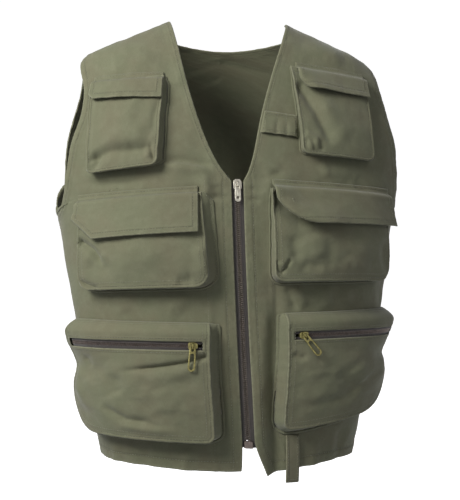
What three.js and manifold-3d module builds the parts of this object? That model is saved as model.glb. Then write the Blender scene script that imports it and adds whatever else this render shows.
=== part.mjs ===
// A utility work vest in olive cotton twill: two fronts closed by a metal zip, one back, four flap
// pockets, two zipped cargo pockets, a tab on the chest and a strap at the hem. It keeps the shape
// that it has when worn. Millimetres, +Z up, the wearer faces -Y and the wearer's left is +X.
// The origin is midway between the neck ends of the two shoulder seams.
import * as THREE from 'three';
import { mergeVertices } from 'three/addons/utils/BufferGeometryUtils.js';
import Module from 'manifold-3d';

// Overall sizes of the vest as worn
const vestLength = 585; // neck end of a shoulder seam down to the hem at the front
const chestWidth = 458; // across the underarms
const chestDepth = 242; // front to back at the underarms
const neckWidth = 160; // between the neck ends of the shoulder seams
const neckDrop = 226; // neck end of the seam down to the point of the V
const backNeckDrop = 24; // the same to the middle of the back neckline
const shoulderWidth = 380; // between the outer ends of the shoulder seams
const shoulderDrop = 52; // fall of each shoulder seam
const underarmDrop = 262; // neck end of the seam down to the underarm
const armholeFront = 62; // how far the armhole is cut in front of the side seam
const armholeBack = 54; // and behind it
const hemSideRise = 9; // the hem is this much higher at the side seams

// Cloth and sewing
const cloth = 1.6; // one wall of cotton twill
const hemWidth = 13; // turned hem at every free edge
const hemExtra = 0.9; // what the turned layer adds on the inside
const seam = 0.8; // clearance where one piece is sewn against another
const flapSeam = 0.35; // the same where a flap is sewn on
const seamSplit = 0.6; // clearance between two panels at a shared seam

// Front zip
const zipGap = 8; // from the middle of the zip to each cloth edge
const zipRise = 37; // the zip's bottom stop is this far above the hem
const zipLean = 13; // the closed zip drifts this far to the wearer's left as it goes down
const zipTapeInner = 3.9; // from the middle of the zip to the tape's inner edge
const zipTapeOuter = 14.5; // and to its outer edge, behind the cloth
const zipTapeThickness = 1;
const tapeClear = 1.3; // from a tape to the cloth over it, and room for the folds there
const zipEndHeight = 8;
const chainWidth = 6.4;
const chainThickness = 2.6;
const toothPitch = 8; // one ridge of the chain stands for four teeth
const toothDip = 0.7;
const cornerSpreadRight = 2.5; // below the zip the right front's corner falls back this far
const cornerSpreadLeft = 12; // and the left front's
const cornerDipLeft = 7; // the left front's corner hangs this much lower

// Zip sliders and their pulls. The slider's window takes the cross bar of the pull.
const frontSlider = { length: 13, width: 10.5 };
const cargoSlider = { length: 11.5, width: 8.8 };
const frontPull = { length: 23, neck: 6.6, width: 7.6, slot: 3.4 };
const cargoPull = { length: 31, neck: 7, width: 9.4, slot: 17 };
const sliderPlate = 1.5;
const sliderPost = 3.6; // the post that joins the two plates at the upper end
const sliderClear = 0.4; // between a plate and the chain, and between the crown and the pull
const crownLength = 7;
const crownWidth = 2;
const crownWall = 1.3;
const crownCorner = 1.6; // cut off the arch's two upper corners
const pullBar = 1.3; // thickness of the pull and of its cross bar
const crownWindow = pullBar + 2.2 * sliderClear; // height of the opening that the bar turns in
const frontPullTilt = 0.02; // radians off the cloth at rest
const cargoPullTilt = 0.1;

// Sections of the worn form, from the neck down. drop is in millimetres below the origin and follows
// the named sizes. width is a share of half the chest's width, front and back are shares of half its
// depth, and square is the power of the rounded section: 2 is an ellipse, more is squarer.
const shoulderMiddle = (neckWidth + shoulderWidth) / 2;
const sections = [
  { drop: 0, width: neckWidth / chestWidth, front: 0.3, back: 0.43, square: 2 },
  { drop: shoulderDrop * 0.48, width: shoulderMiddle / chestWidth, front: 0.42, back: 0.55, square: 2 },
  { drop: shoulderDrop, width: shoulderWidth / chestWidth, front: 0.55, back: 0.66, square: 2.05 },
  { drop: underarmDrop * 0.42, width: 1.0, front: 0.745, back: 0.81, square: 2.15 },
  { drop: underarmDrop * 0.61, width: 1.065, front: 0.86, back: 0.885, square: 2.2 },
  { drop: underarmDrop * 0.8, width: 1.048, front: 0.95, back: 0.925, square: 2.2 },
  { drop: underarmDrop * 0.97, width: 1.0, front: 1.0, back: 0.94, square: 2.25 },
  { drop: vestLength * 0.515, width: 0.952, front: 1.025, back: 0.94, square: 2.3 },
  { drop: vestLength * 0.615, width: 0.908, front: 1.04, back: 0.925, square: 2.35 },
  { drop: vestLength * 0.75, width: 0.856, front: 1.04, back: 0.91, square: 2.35 },
  { drop: vestLength * 0.89, width: 0.79, front: 1.01, back: 0.885, square: 2.35 },
  { drop: vestLength * 1.04, width: 0.7, front: 0.955, back: 0.855, square: 2.35 },
];

// Soft folds of the hanging cloth. Each is a ridge, or a hollow where height is negative, along a
// line from one place to another. arc is a share of a quarter of the way round the vest, positive on
// the wearer's left, and past 1 is on the back; drop is a share of vestLength.
const folds = [
  // below the point of the V on both fronts
  { arc: -0.07, drop: 0.42, toArc: -0.34, toDrop: 0.37, width: 13, height: 2.6 },
  { arc: 0.09, drop: 0.43, toArc: 0.3, toDrop: 0.38, width: 12, height: 1.8 },
  // from the underarms towards the waist
  { arc: -0.97, drop: 0.47, toArc: -0.86, toDrop: 0.7, width: 17, height: 3.6 },
  { arc: 0.97, drop: 0.47, toArc: 0.88, toDrop: 0.68, width: 17, height: 3.6 },
  // the strip between the zip and the left cargo pocket rolls forwards
  { arc: 0.1, drop: 0.74, toArc: 0.12, toDrop: 1.02, width: 12, height: 4.5 },
  { arc: -0.04, drop: 0.8, toArc: -0.05, toDrop: 1.02, width: 12, height: 2.2 },
  // long upright folds of the back, and two across it under the shoulder blades
  { arc: 1.34, drop: 0.5, toArc: 1.42, toDrop: 1.02, width: 20, height: 5 },
  { arc: -1.34, drop: 0.5, toArc: -1.42, toDrop: 1.02, width: 20, height: 5 },
  { arc: 1.72, drop: 0.62, toArc: 1.76, toDrop: 1.02, width: 22, height: 4 },
  { arc: -1.74, drop: 0.58, toArc: -1.8, toDrop: 1.02, width: 22, height: 4.4 },
  { arc: 1.35, drop: 0.3, toArc: 1.72, toDrop: 0.35, width: 15, height: 2.4 },
  { arc: -1.35, drop: 0.3, toArc: -1.7, toDrop: 0.36, width: 15, height: 2.4 },
];

// Pockets. width and height are those of the face. The gusset behind it is sewn down wider: its foot
// is inside, outside and below the face by footIn, footOut and footDown. lift is how far the face
// stands off the vest at the mouth and belly at the deepest place. The lower corners are round.
const chestPocket = {
  width: 96, height: 106, footIn: 5, footOut: 3, footDown: 14,
  lift: 6, belly: 13, cornerIn: 9, cornerOut: 9,
};
const waistPocket = {
  width: 160, height: 116, footIn: 12, footOut: 4, footDown: 3,
  lift: 6, belly: 19, cornerIn: 12, cornerOut: 18,
};
const cargoPocket = {
  width: 186, height: 147, footIn: 11, footOut: 4, footDown: 3,
  lift: 15, belly: 22, cornerIn: 9, cornerOut: 48,
};
const chestFlap = { height: 31, over: 2.5, curl: 0.8, clip: 0.5 };
const waistFlap = { height: 59, over: 3, curl: 0.9, clip: 1 };
const flapRoom = 3.4; // from the middle of a pocket's face to the middle of the flap on it
const mouthBelow = 10; // a flap pocket's mouth starts this far under the flap's seam
const curlHeight = 9; // how far a curled corner of a flap stands off
const cargoBand = 21; // cloth between the cargo pocket's upper seam and its zip
const cargoZipGap = 5.6; // from the middle of that zip to each cloth edge
const cargoTapeWidth = 8; // how far each tape reaches from the chain
const cargoChainWidth = 5.2;
const cargoZipInset = 9; // the chain stops this far inside the face's two edges

// Where each pocket is. side is -1 on the wearer's right, inner is the distance round the body from
// the middle of the front to the face's inner edge, top is the place of the upper seam there as a
// share of vestLength and fall is how much lower that seam is at the outer edge.
const pocketPlaces = {
  chestRight: { side: -1, inner: 86, top: 0.143, fall: 7 },
  chestLeft: { side: 1, inner: 81, top: 0.119, fall: 7 },
  waistRight: { side: -1, inner: 42, top: 0.396, fall: 8 },
  waistLeft: { side: 1, inner: 47, top: 0.387, fall: 8 },
  cargoRight: { side: -1, inner: 36, top: 0.688, fall: -4 },
  cargoLeft: { side: 1, inner: 58, top: 0.668, fall: -5 },
};

// Tab from the neckline to the left chest pocket, and the strap under the left cargo pocket
const tab = { top: 0.232, fall: 5, height: 28, thickness: 1.8, stand: 3.2, inset: 3, toPocket: 2.5 };
const strap = { inner: 61, width: 16, length: 51, thickness: 1.8, below: 2 };

const right = -1;
const left = 1;
const quarterTurn = Math.PI / 2;

const twill = new THREE.MeshStandardMaterial({ color: 0x7b7d62, roughness: 0.92, metalness: 0 });
const webbing = new THREE.MeshStandardMaterial({ color: 0x77775c, roughness: 0.9, metalness: 0 });
const tape = new THREE.MeshStandardMaterial({ color: 0x4b413c, roughness: 0.9, metalness: 0 });
const teethMetal = new THREE.MeshStandardMaterial({ color: 0x6b5d55, roughness: 0.45, metalness: 0.8 });
const nickel = new THREE.MeshStandardMaterial({ color: 0xb9b4a2, roughness: 0.35, metalness: 1 });
const brass = new THREE.MeshStandardMaterial({ color: 0x9a8f50, roughness: 0.4, metalness: 1 });

// Length along the cloth from the middle of the front to a side seam, near enough for the hems.
const quarterGirth = chestWidth * 0.61;

const wasm = await Module();
wasm.setup();

const lerp = THREE.MathUtils.lerp;
const clamp = THREE.MathUtils.clamp;
const smooth = (t) => THREE.MathUtils.smoothstep(t, 0, 1);

// Evenly spaced values from one number to another, both included.
const steps = (from, to, count) => Array.from({ length: count + 1 }, (_, i) => lerp(from, to, i / count));

// The value of a column of the sections table at a drop, on a smooth curve through its rows.
function sectionValue(name, drop) {
  const at = clamp(drop, sections[0].drop, sections.at(-1).drop);
  const i = clamp(sections.findIndex((row) => row.drop >= at) - 1, 0, sections.length - 2);
  const slope = (k) => {
    const before = sections[Math.max(k - 1, 0)];
    const after = sections[Math.min(k + 1, sections.length - 1)];
    return (after[name] - before[name]) / (after.drop - before.drop);
  };
  const [a, b] = [sections[i], sections[i + 1]];
  const span = b.drop - a.drop;
  const t = (at - a.drop) / span;
  return (
    (2 * t ** 3 - 3 * t ** 2 + 1) * a[name] +
    (t ** 3 - 2 * t ** 2 + t) * span * slope(i) +
    (3 * t ** 2 - 2 * t ** 3) * b[name] +
    (t ** 3 - t ** 2) * span * slope(i + 1)
  );
}

// A section's sizes at a drop, kept because every point of the cloth asks for them.
const sectionCache = new Map();
function sectionAt(drop) {
  if (!sectionCache.has(drop)) {
    sectionCache.set(drop, {
      halfWidth: (sectionValue('width', drop) * chestWidth) / 2,
      front: (sectionValue('front', drop) * chestDepth) / 2,
      back: (sectionValue('back', drop) * chestDepth) / 2,
      square: sectionValue('square', drop),
    });
  }
  return sectionCache.get(drop);
}

// Distance of the worn form from the body's middle line. The angle is 0 at the front and grows
// towards the wearer's left.
function bodyRadius(angle, drop) {
  const { halfWidth, front, back, square } = sectionAt(drop);
  const depth = Math.cos(angle) >= 0 ? front : back;
  const across = Math.abs(Math.sin(angle) / halfWidth) ** square;
  const along = Math.abs(Math.cos(angle) / depth) ** square;
  return (across + along) ** (-1 / square);
}

function bodyPoint(angle, drop) {
  const radius = bodyRadius(angle, drop);
  return new THREE.Vector3(radius * Math.sin(angle), -radius * Math.cos(angle), -drop);
}

function bodyNormal(angle, drop) {
  const turn = 0.01;
  const fall = 1.5;
  const around = bodyPoint(angle + turn, drop).sub(bodyPoint(angle - turn, drop));
  const upper = Math.max(drop - fall, 0);
  const down = bodyPoint(angle, drop + fall).sub(bodyPoint(angle, upper));
  return down.cross(around).normalize();
}

// The solution of f(x) = 0 between low and high, for an f that rises.
function solve(f, low, high) {
  for (let i = 0; i < 40; i++) {
    const middle = (low + high) / 2;
    if (f(middle) > 0) high = middle;
    else low = middle;
  }
  return (low + high) / 2;
}

// Length round the body from the middle of the front, as a table of angles for one drop.
const arcStep = Math.PI / 90;
const arcCache = new Map();
function arcTable(drop) {
  if (!arcCache.has(drop)) {
    const lengths = [0];
    for (let i = 1; i * arcStep <= Math.PI + 1e-9; i++) {
      const piece = bodyPoint(i * arcStep, drop).distanceTo(bodyPoint((i - 1) * arcStep, drop));
      lengths.push(lengths[i - 1] + piece);
    }
    arcCache.set(drop, lengths);
  }
  return arcCache.get(drop);
}

function angleAtArc(arc, drop) {
  const lengths = arcTable(drop);
  const wanted = Math.abs(arc);
  const i = clamp(lengths.findIndex((length) => length >= wanted), 1, lengths.length - 1);
  const share = (wanted - lengths[i - 1]) / (lengths[i] - lengths[i - 1]);
  return Math.sign(arc) * (i - 1 + share) * arcStep;
}

// The angle at which the form has a given sideways place, or a given place in front of the side seam.
const angleAtX = (x, drop) => solve((a) => bodyRadius(a, drop) * Math.sin(a) - x, 0, quarterTurn);
const angleAtFront = (y, drop) => solve((a) => y - bodyRadius(a, drop) * Math.cos(a), 0, quarterTurn);
const angleAtBack = (y, drop) =>
  Math.PI - solve((a) => y - bodyRadius(Math.PI - a, drop) * Math.cos(a), 0, quarterTurn);

// How far the folds push the cloth off the worn form.
function foldLift(angle, drop) {
  const here = new THREE.Vector2(angle / quarterTurn, drop / vestLength);
  const scale = new THREE.Vector2(bodyRadius(angle, drop) * quarterTurn, vestLength);
  let lift = 0;
  for (const fold of folds) {
    const start = new THREE.Vector2(fold.arc, fold.drop).multiply(scale);
    const run = new THREE.Vector2(fold.toArc, fold.toDrop).multiply(scale).sub(start);
    const from = here.clone().multiply(scale).sub(start);
    const along = clamp(from.dot(run) / run.lengthSq(), 0, 1);
    const away = from.addScaledVector(run, -along).length() / fold.width;
    const taper = smooth(along / 0.35);
    lift += fold.height * taper * Math.exp(-away * away);
  }
  return lift;
}

// A point at a distance off the middle of the panel cloth, by its angle or by its arc.
function offCloth(angle, drop, lift) {
  return bodyPoint(angle, drop).addScaledVector(bodyNormal(angle, drop), foldLift(angle, drop) + lift);
}
const onVest = (arc, drop, lift) => offCloth(angleAtArc(arc, drop), drop, lift);

// A closed mesh as a manifold-3d solid, and back.
function toSolid(geometry) {
  const bare = geometry.clone();
  bare.deleteAttribute('normal');
  bare.deleteAttribute('uv');
  const merged = mergeVertices(bare, 1e-4);
  return new wasm.Manifold(
    new wasm.Mesh({
      numProp: 3,
      vertProperties: merged.attributes.position.array,
      triVerts: new Uint32Array(merged.index.array),
    }),
  );
}

function toGeometry(solid) {
  const mesh = solid.getMesh();
  const geometry = new THREE.BufferGeometry();
  geometry.setAttribute('position', new THREE.BufferAttribute(mesh.vertProperties, 3));
  geometry.setIndex(new THREE.BufferAttribute(mesh.triVerts, 1));
  geometry.computeVertexNormals();
  return geometry;
}

// Triangles turned so that the faces of a closed mesh point out.
function facingOut(positions, triangles) {
  let volume = 0;
  for (let i = 0; i < triangles.length; i += 3) {
    const [a, b, c] = [0, 1, 2].map((k) => positions[triangles[i + k]]);
    volume += a.dot(b.clone().cross(c));
  }
  if (volume >= 0) return triangles;
  const turned = [];
  for (let i = 0; i < triangles.length; i += 3) {
    turned.push(triangles[i], triangles[i + 2], triangles[i + 1]);
  }
  return turned;
}

// A closed solid from a front and a back face of the same grid, joined all round the edge.
function slab(frontFace, backFace) {
  const rows = frontFace.length;
  const columns = frontFace[0].length;
  const positions = [...frontFace.flat(), ...backFace.flat()];
  const back = rows * columns;
  const at = (r, c) => r * columns + c;
  const triangles = [];
  const quad = (a, b, c, d) => triangles.push(a, b, c, a, c, d);
  for (let r = 0; r < rows - 1; r++) {
    for (let c = 0; c < columns - 1; c++) {
      const [p, q, s, t] = [at(r, c), at(r, c + 1), at(r + 1, c + 1), at(r + 1, c)];
      quad(p, q, s, t);
      quad(back + t, back + s, back + q, back + p);
    }
  }
  for (let c = 0; c < columns - 1; c++) {
    const [p, q] = [at(0, c + 1), at(0, c)];
    const [s, t] = [at(rows - 1, c), at(rows - 1, c + 1)];
    quad(p, q, back + q, back + p);
    quad(s, t, back + t, back + s);
  }
  for (let r = 0; r < rows - 1; r++) {
    const [p, q] = [at(r, 0), at(r + 1, 0)];
    const [s, t] = [at(r + 1, columns - 1), at(r, columns - 1)];
    quad(p, q, back + q, back + p);
    quad(s, t, back + t, back + s);
  }
  const geometry = new THREE.BufferGeometry();
  const flat = new Float32Array(positions.flatMap((p) => [p.x, p.y, p.z]));
  geometry.setAttribute('position', new THREE.BufferAttribute(flat, 3));
  geometry.setIndex(facingOut(positions, triangles));
  geometry.computeVertexNormals();
  return geometry;
}

// A sheet of cloth: the grid is its middle, and half its thickness goes to each side along the
// sheet's own normal. extra(row, column) thickens the back, as a turned hem does.
function sheet(grid, thickness, extra = () => 0) {
  const cell = (r, c) => grid[clamp(r, 0, grid.length - 1)][clamp(c, 0, grid[0].length - 1)];
  const normals = grid.map((row, r) =>
    row.map((point, c) => {
      const sum = new THREE.Vector3();
      for (const [dr, dc] of [[1, 1], [-1, 1], [-1, -1], [1, -1]]) {
        const up = cell(r + dr, c).clone().sub(point);
        const over = cell(r, c + dc).clone().sub(point);
        const face = over.cross(up).multiplyScalar(dr * dc);
        if (face.lengthSq() > 1e-12) sum.add(face.normalize());
      }
      return sum.normalize();
    }),
  );
  const face = (side) =>
    grid.map((row, r) =>
      row.map((point, c) => {
        const away = side * (thickness / 2) + (side < 0 ? -extra(r, c) : 0);
        return point.clone().addScaledVector(normals[r][c], away);
      }),
    );
  return slab(face(1), face(-1));
}

// The shoulders are nearly level, so drops are blended on a scale that is stretched there.
const shoulderRun = (shoulderWidth - neckWidth) / 2;
const stretched = ([angle, drop]) => [angle, drop + shoulderRun * Math.min(drop / shoulderDrop, 1)];
function unstretched([angle, length]) {
  const edge = shoulderDrop + shoulderRun;
  return [angle, length < edge ? (length * shoulderDrop) / edge : length - shoulderRun];
}

// A patch between four edges, each a function of 0 to 1 that gives an angle and a drop.
function patch({ bottom, top, start, end }, u, v) {
  const [b, t, s, e] = [bottom(u), top(u), start(v), end(v)].map(stretched);
  const [c00, c10, c01, c11] = [bottom(0), bottom(1), top(0), top(1)].map(stretched);
  return unstretched(
    b.map(
      (_, k) =>
        (1 - v) * b[k] + v * t[k] + (1 - u) * s[k] + u * e[k] -
        (1 - u) * (1 - v) * c00[k] - u * (1 - v) * c10[k] - (1 - u) * v * c01[k] - u * v * c11[k],
    ),
  );
}

// Grid lines across a patch, with a hem's two lines close together beside each hemmed end.
function hemmedLines(count, share, atStart, atEnd) {
  const step = 0.004;
  const from = atStart ? share + step : 0;
  const to = atEnd ? 1 - share - step : 1;
  return [...(atStart ? [0, share] : []), ...steps(from, to, count), ...(atEnd ? [1 - share, 1] : [])];
}

// Where the middle of the front zip runs, as an arc at a drop.
const zipBottom = vestLength - zipRise;
const zipLength = zipBottom - neckDrop;
const zipArc = (drop) => zipLean * clamp((drop - neckDrop) / zipLength, 0, 1.1) ** 1.5;
const hemDrop = (angle) => vestLength - hemSideRise * Math.sin(angle) ** 2;

// Half the opening of the V neckline at a drop: nearly straight, and rounded into the zip.
function neckHalf(drop) {
  const t = clamp(drop / neckDrop, 0, 1);
  return lerp(neckWidth / 2, zipGap, 0.86 * t + 0.14 * t ** 12);
}

// The edge of a front: up the zip from the hem, then up the neckline to the shoulder seam.
const zipShare = 0.52;
function frontEdge(side, v) {
  if (v <= zipShare) {
    const dip = side === left ? cornerDipLeft : 0;
    const spread = side === left ? cornerSpreadLeft : cornerSpreadRight;
    const drop = lerp(vestLength + dip, neckDrop, v / zipShare);
    const below = clamp((drop - zipBottom) / (vestLength - zipBottom), 0, 1.2);
    const arc = zipArc(drop) * side + zipGap + spread * below ** 1.3;
    return [angleAtArc(arc, drop), drop];
  }
  const t = (v - zipShare) / (1 - zipShare);
  const drop = neckDrop * (1 - t) ** 1.4;
  return [t >= 1 ? quarterTurn : angleAtX(neckHalf(drop), drop), drop];
}

// The side edge of a front or of half the back: up the side seam, then round the armhole, which is
// squarer below than above.
const sideShare = 0.56;
function sideEdge(v, cut, angleAtDepth) {
  if (v <= sideShare) {
    return [quarterTurn, lerp(hemDrop(quarterTurn), underarmDrop, v / sideShare)];
  }
  const turn = Math.PI * ((v - sideShare) / (1 - sideShare));
  const drop = (underarmDrop + shoulderDrop) / 2 + ((underarmDrop - shoulderDrop) / 2) * Math.cos(turn);
  const squareness = turn < Math.PI / 2 ? 0.5 : 1;
  const depth = cut * Math.sin(turn) ** squareness;
  return [depth < 0.05 ? quarterTurn : angleAtDepth(depth, drop), drop];
}

// Takes a seam edge back by a fixed distance, so that two panels keep a gap there.
const seamAngle = (drop) => seamSplit / 2 / bodyRadius(quarterTurn, drop);

const edgeColumn = 0.04; // the first inner column of a front, as a share of its width
function frontPanel(side) {
  const edges = {
    bottom: (u) => {
      const angle = lerp(frontEdge(side, 0)[0], quarterTurn, u);
      const dip = side === left ? cornerDipLeft * (1 - u) ** 8 : 0;
      return [angle, hemDrop(angle) + dip];
    },
    top: (u) => [quarterTurn, lerp(0, shoulderDrop, u)],
    start: (v) => frontEdge(side, v),
    end: (v) => sideEdge(v, armholeFront, angleAtFront),
  };
  const beside = hemmedLines(12, hemWidth / quarterGirth, false, true);
  const columns = [0, ...beside.map((u) => lerp(edgeColumn, 1, u))];
  const lower = hemmedLines(12, hemWidth / (vestLength - neckDrop), true, false);
  const rows = [...lower.map((t) => t * zipShare), ...steps(zipShare, 1, 12).slice(1)];
  const grid = rows.map((v) =>
    columns.map((u) => {
      const [angle, drop] = patch(edges, u, v);
      const kept = Math.min(angle, quarterTurn - seamAngle(drop));
      return offCloth(side * kept, Math.max(drop, 0), 0);
    }),
  );
  const last = columns.length - 1;
  const hemmed = (r, c) => r <= 1 || c >= last - 1;
  if (side === left) return sheet(grid, cloth, (r, c) => (hemmed(r, c) ? hemExtra : 0));
  return sheet(grid.map((row) => row.reverse()), cloth, (r, c) => (hemmed(r, last - c) ? hemExtra : 0));
}

// The back goes from the left side edge, behind the body, to the right one. Its upper edge is the
// left shoulder seam, the back neckline and the right shoulder seam.
const seamShare = 0.3;
function backTop(u) {
  if (u <= seamShare) return [quarterTurn, lerp(shoulderDrop, 0, u / seamShare)];
  if (u >= 1 - seamShare) {
    return [3 * quarterTurn, lerp(0, shoulderDrop, (u - 1 + seamShare) / seamShare)];
  }
  const t = (u - seamShare) / (1 - 2 * seamShare);
  return [lerp(quarterTurn, 3 * quarterTurn, t), backNeckDrop * Math.sin(Math.PI * t) ** 0.6];
}

function backPanel() {
  const backEdge = (v) => sideEdge(v, armholeBack, angleAtBack);
  const edges = {
    bottom: (u) => {
      const angle = lerp(quarterTurn, 3 * quarterTurn, u);
      return [angle, hemDrop(angle)];
    },
    top: backTop,
    start: backEdge,
    end: (v) => [4 * quarterTurn - backEdge(v)[0], backEdge(v)[1]],
  };
  const hemShare = hemWidth / (2 * quarterGirth);
  const sideLines = hemmedLines(5, hemShare / seamShare, true, false).map((t) => t * seamShare);
  const middleLines = steps(seamShare, 1 - seamShare, 9).slice(1, -1);
  const columns = [...sideLines, ...middleLines, ...sideLines.map((u) => 1 - u).reverse()];
  const rows = hemmedLines(16, hemWidth / vestLength, true, true);
  const grid = rows.map((v) =>
    columns.map((u) => {
      const [angle, drop] = patch(edges, u, v);
      const kept = seamAngle(drop);
      const safe = clamp(angle, quarterTurn + kept, 3 * quarterTurn - kept);
      return offCloth(safe > Math.PI ? safe - 4 * quarterTurn : safe, Math.max(drop, 0), 0);
    }),
  );
  const edge = (k, count) => k <= 1 || k >= count - 2;
  return sheet(grid, cloth, (r, c) => (edge(r, rows.length) || edge(c, columns.length) ? hemExtra : 0));
}

// A strip that follows the body between arcs, with its faces at two lifts.
function strip(drops, arcs, outerLift, innerLift) {
  const face = (lift) => drops.map((drop) => arcs(drop).map((arc) => onVest(arc, drop, lift)));
  return slab(face(outerLift), face(innerLift));
}

// The middle of the front zip's tape and chain, off the cloth.
const zipLift = -cloth / 2 - tapeClear - zipTapeThickness / 2;
const frontSliderDrop = neckDrop + frontSlider.length * 0.3;

function zipTape(side) {
  const drops = steps(neckDrop + 2, zipBottom + zipEndHeight, 15);
  const arcs = (drop) => [zipTapeInner, zipTapeOuter].map((away) => zipArc(drop) + side * away);
  return strip(drops, arcs, zipLift + zipTapeThickness / 2, zipLift - zipTapeThickness / 2);
}

// A closed chain of teeth along a line: ridges across it, one for each pitch.
function chainSolid(length, lineAt, width, thickness) {
  const pitches = Math.round(length / toothPitch);
  const places = steps(0, 1, pitches * 2);
  const ridge = (i) => thickness / 2 - (i % 2 ? toothDip : 0);
  const face = (way) =>
    places.map((share, i) => [-1, 1].map((across) => lineAt(share, (across * width) / 2, way * ridge(i))));
  return slab(face(1), face(-1));
}

function frontChain() {
  const from = frontSliderDrop + 1;
  const to = zipBottom;
  const line = (share, across, lift) => {
    const drop = lerp(from, to, share);
    return onVest(zipArc(drop) + across, drop, zipLift + lift);
  };
  return chainSolid(to - from, line, chainWidth, chainThickness);
}

// The box that holds the lower end of the front zip together, on the tapes.
function zipEnd() {
  const half = chainWidth / 2 + 1.5;
  const drops = [zipBottom + 0.6, zipBottom + zipEndHeight];
  const arcs = (drop) => [zipArc(drop) - half, zipArc(drop) + half];
  const inner = zipLift + zipTapeThickness / 2 + seam / 2;
  return strip(drops, arcs, inner + chainThickness, inner);
}

// A flat outline given a thickness, centred on its own plane.
function plate(shape, depth, curveSegments = 5) {
  const geometry = new THREE.ExtrudeGeometry(shape, { depth, bevelEnabled: false, curveSegments });
  return geometry.translate(0, 0, -depth / 2);
}

// A window with square upper corners and a round lower end.
function slotHole(halfWidth, top, bottom) {
  const hole = new THREE.Path();
  hole.moveTo(-halfWidth, top);
  hole.lineTo(halfWidth, top);
  hole.lineTo(halfWidth, bottom + halfWidth);
  hole.absarc(0, bottom + halfWidth, halfWidth, 0, -Math.PI, true);
  hole.closePath();
  return hole;
}

// A pull, in its own frame: its cross bar lies on the X axis, it hangs along -Y and +Z is off the
// cloth. The eye goes round the crown, and a long slot lightens the blade.
function pullTab({ length, neck, width, slot }) {
  const outline = new THREE.Shape();
  outline.moveTo(-neck / 2, 0);
  outline.lineTo(-width / 2, -length + width / 2);
  outline.absarc(0, -length + width / 2, width / 2, Math.PI, 2 * Math.PI, false);
  outline.lineTo(neck / 2, 0);
  outline.closePath();
  const eyeBottom = -crownLength / 2 - 2.4 * sliderClear - pullBar / 2 - 0.8;
  outline.holes.push(slotHole(crownWidth / 2 + 1.4 * sliderClear, -pullBar, eyeBottom));
  const slotTop = eyeBottom - 2;
  outline.holes.push(slotHole(width / 2 - 2.4, slotTop, slotTop - slot));
  return plate(outline, pullBar).translate(0, pullBar / 2, 0);
}

// A slider, in its own frame: the zip runs along Y, closed at -Y, +Z is off the cloth and the chain's
// middle is at the origin. The crown is turned about Z, so that the pull hangs the way it should.
function zipSlider({ length, width }, chainHeight, crownTurn) {
  const inside = chainHeight / 2 + sliderClear;
  const outline = new THREE.Shape();
  const half = length / 2;
  const widest = half * 0.1;
  const narrowing = half * 0.75;
  outline.moveTo(-width / 2 + 1, -half);
  outline.lineTo(width / 2 - 1, -half);
  outline.lineTo(width / 2, widest);
  outline.lineTo(width / 2 - 0.8, narrowing);
  outline.lineTo(width / 4, half);
  outline.lineTo(-width / 4, half);
  outline.lineTo(-width / 2 + 0.8, narrowing);
  outline.lineTo(-width / 2, widest);
  outline.closePath();
  const level = inside + sliderPlate / 2;
  const outer = toSolid(plate(outline, sliderPlate).translate(0, 0, level));
  const inner = toSolid(plate(outline, sliderPlate).translate(0, 0, -level));
  const postShape = new THREE.BoxGeometry(sliderPost, length * 0.28, 2 * level);
  const post = toSolid(postShape.translate(0, half - length * 0.16, 0));
  const height = crownWindow + crownWall + 2 * sliderClear;
  const foot = crownLength / 2;
  const arch = new THREE.Shape();
  arch.moveTo(-foot, -sliderPlate / 2);
  arch.lineTo(-foot, height - crownCorner);
  arch.lineTo(-foot + crownCorner, height);
  arch.lineTo(foot - crownCorner, height);
  arch.lineTo(foot, height - crownCorner);
  arch.lineTo(foot, -sliderPlate / 2);
  arch.closePath();
  const reach = foot - crownWall;
  const opening = new THREE.Path();
  opening.moveTo(-reach, height - crownWall - crownWindow);
  opening.lineTo(reach, height - crownWall - crownWindow);
  opening.lineTo(reach, height - crownWall);
  opening.lineTo(-reach, height - crownWall);
  opening.closePath();
  arch.holes.push(opening);
  const standing = plate(arch, crownWidth).rotateX(quarterTurn).rotateZ(quarterTurn + crownTurn);
  const crown = toSolid(standing.translate(0, 0, inside + sliderPlate));
  return toGeometry(outer.add(inner).add(post).add(crown));
}

// Height of a pull's bar above the chain's middle: in the middle of the crown's window.
function barHeight(chainHeight) {
  return chainHeight / 2 + sliderClear + sliderPlate + 2 * sliderClear + crownWindow / 2;
}

// A frame on the vest: X across to the wearer's left, Y up along the cloth and Z off it.
function frameAt(arc, drop, lift) {
  const up = onVest(arc, drop - 4, lift).sub(onVest(arc, drop + 4, lift)).normalize();
  const over = onVest(arc + 4, drop, lift).sub(onVest(arc - 4, drop, lift));
  const off = over.cross(up).normalize();
  return new THREE.Matrix4().makeBasis(up.clone().cross(off), up, off).setPosition(onVest(arc, drop, lift));
}

// Pockets are built on two lengths: across runs outwards from the face's inner edge, and below runs
// down from the upper seam.
const seatLift = cloth + seam;
const pocketTop = (size, place, across) => place.top * vestLength + (place.fall * across) / size.width;

function pocketPoint(size, place, across, below, lift) {
  const drop = pocketTop(size, place, across) + below;
  return onVest(place.side * (place.inner + across), drop, seatLift + lift);
}

// How far a round corner lifts the lower edge, at a distance from the side edge.
function cornerRise(distance, radius) {
  const rest = radius - clamp(distance, 0, radius);
  return radius - Math.sqrt(radius * radius - rest * rest);
}

function bottomBelow(size, across) {
  const rise = Math.max(cornerRise(across, size.cornerIn), cornerRise(size.width - across, size.cornerOut));
  return size.height - rise;
}

// How far a pocket's face stands off the vest: least at the mouth, most low down, a little crowned
// between its edges, and less where the body turns to the side.
function faceLift(size, across, below) {
  const out = clamp(across / size.width, 0, 1);
  const down = clamp(below / size.height, 0, 1);
  const belly = lerp(size.lift, size.belly, smooth(down / 0.8));
  const crown = 3 * Math.sin(Math.PI * out) * Math.sin(Math.PI * down);
  return belly * lerp(1, 0.8, out) + crown;
}

const facing = (place, grid) => (place.side === left ? grid : grid.map((row) => row.reverse()));

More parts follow.
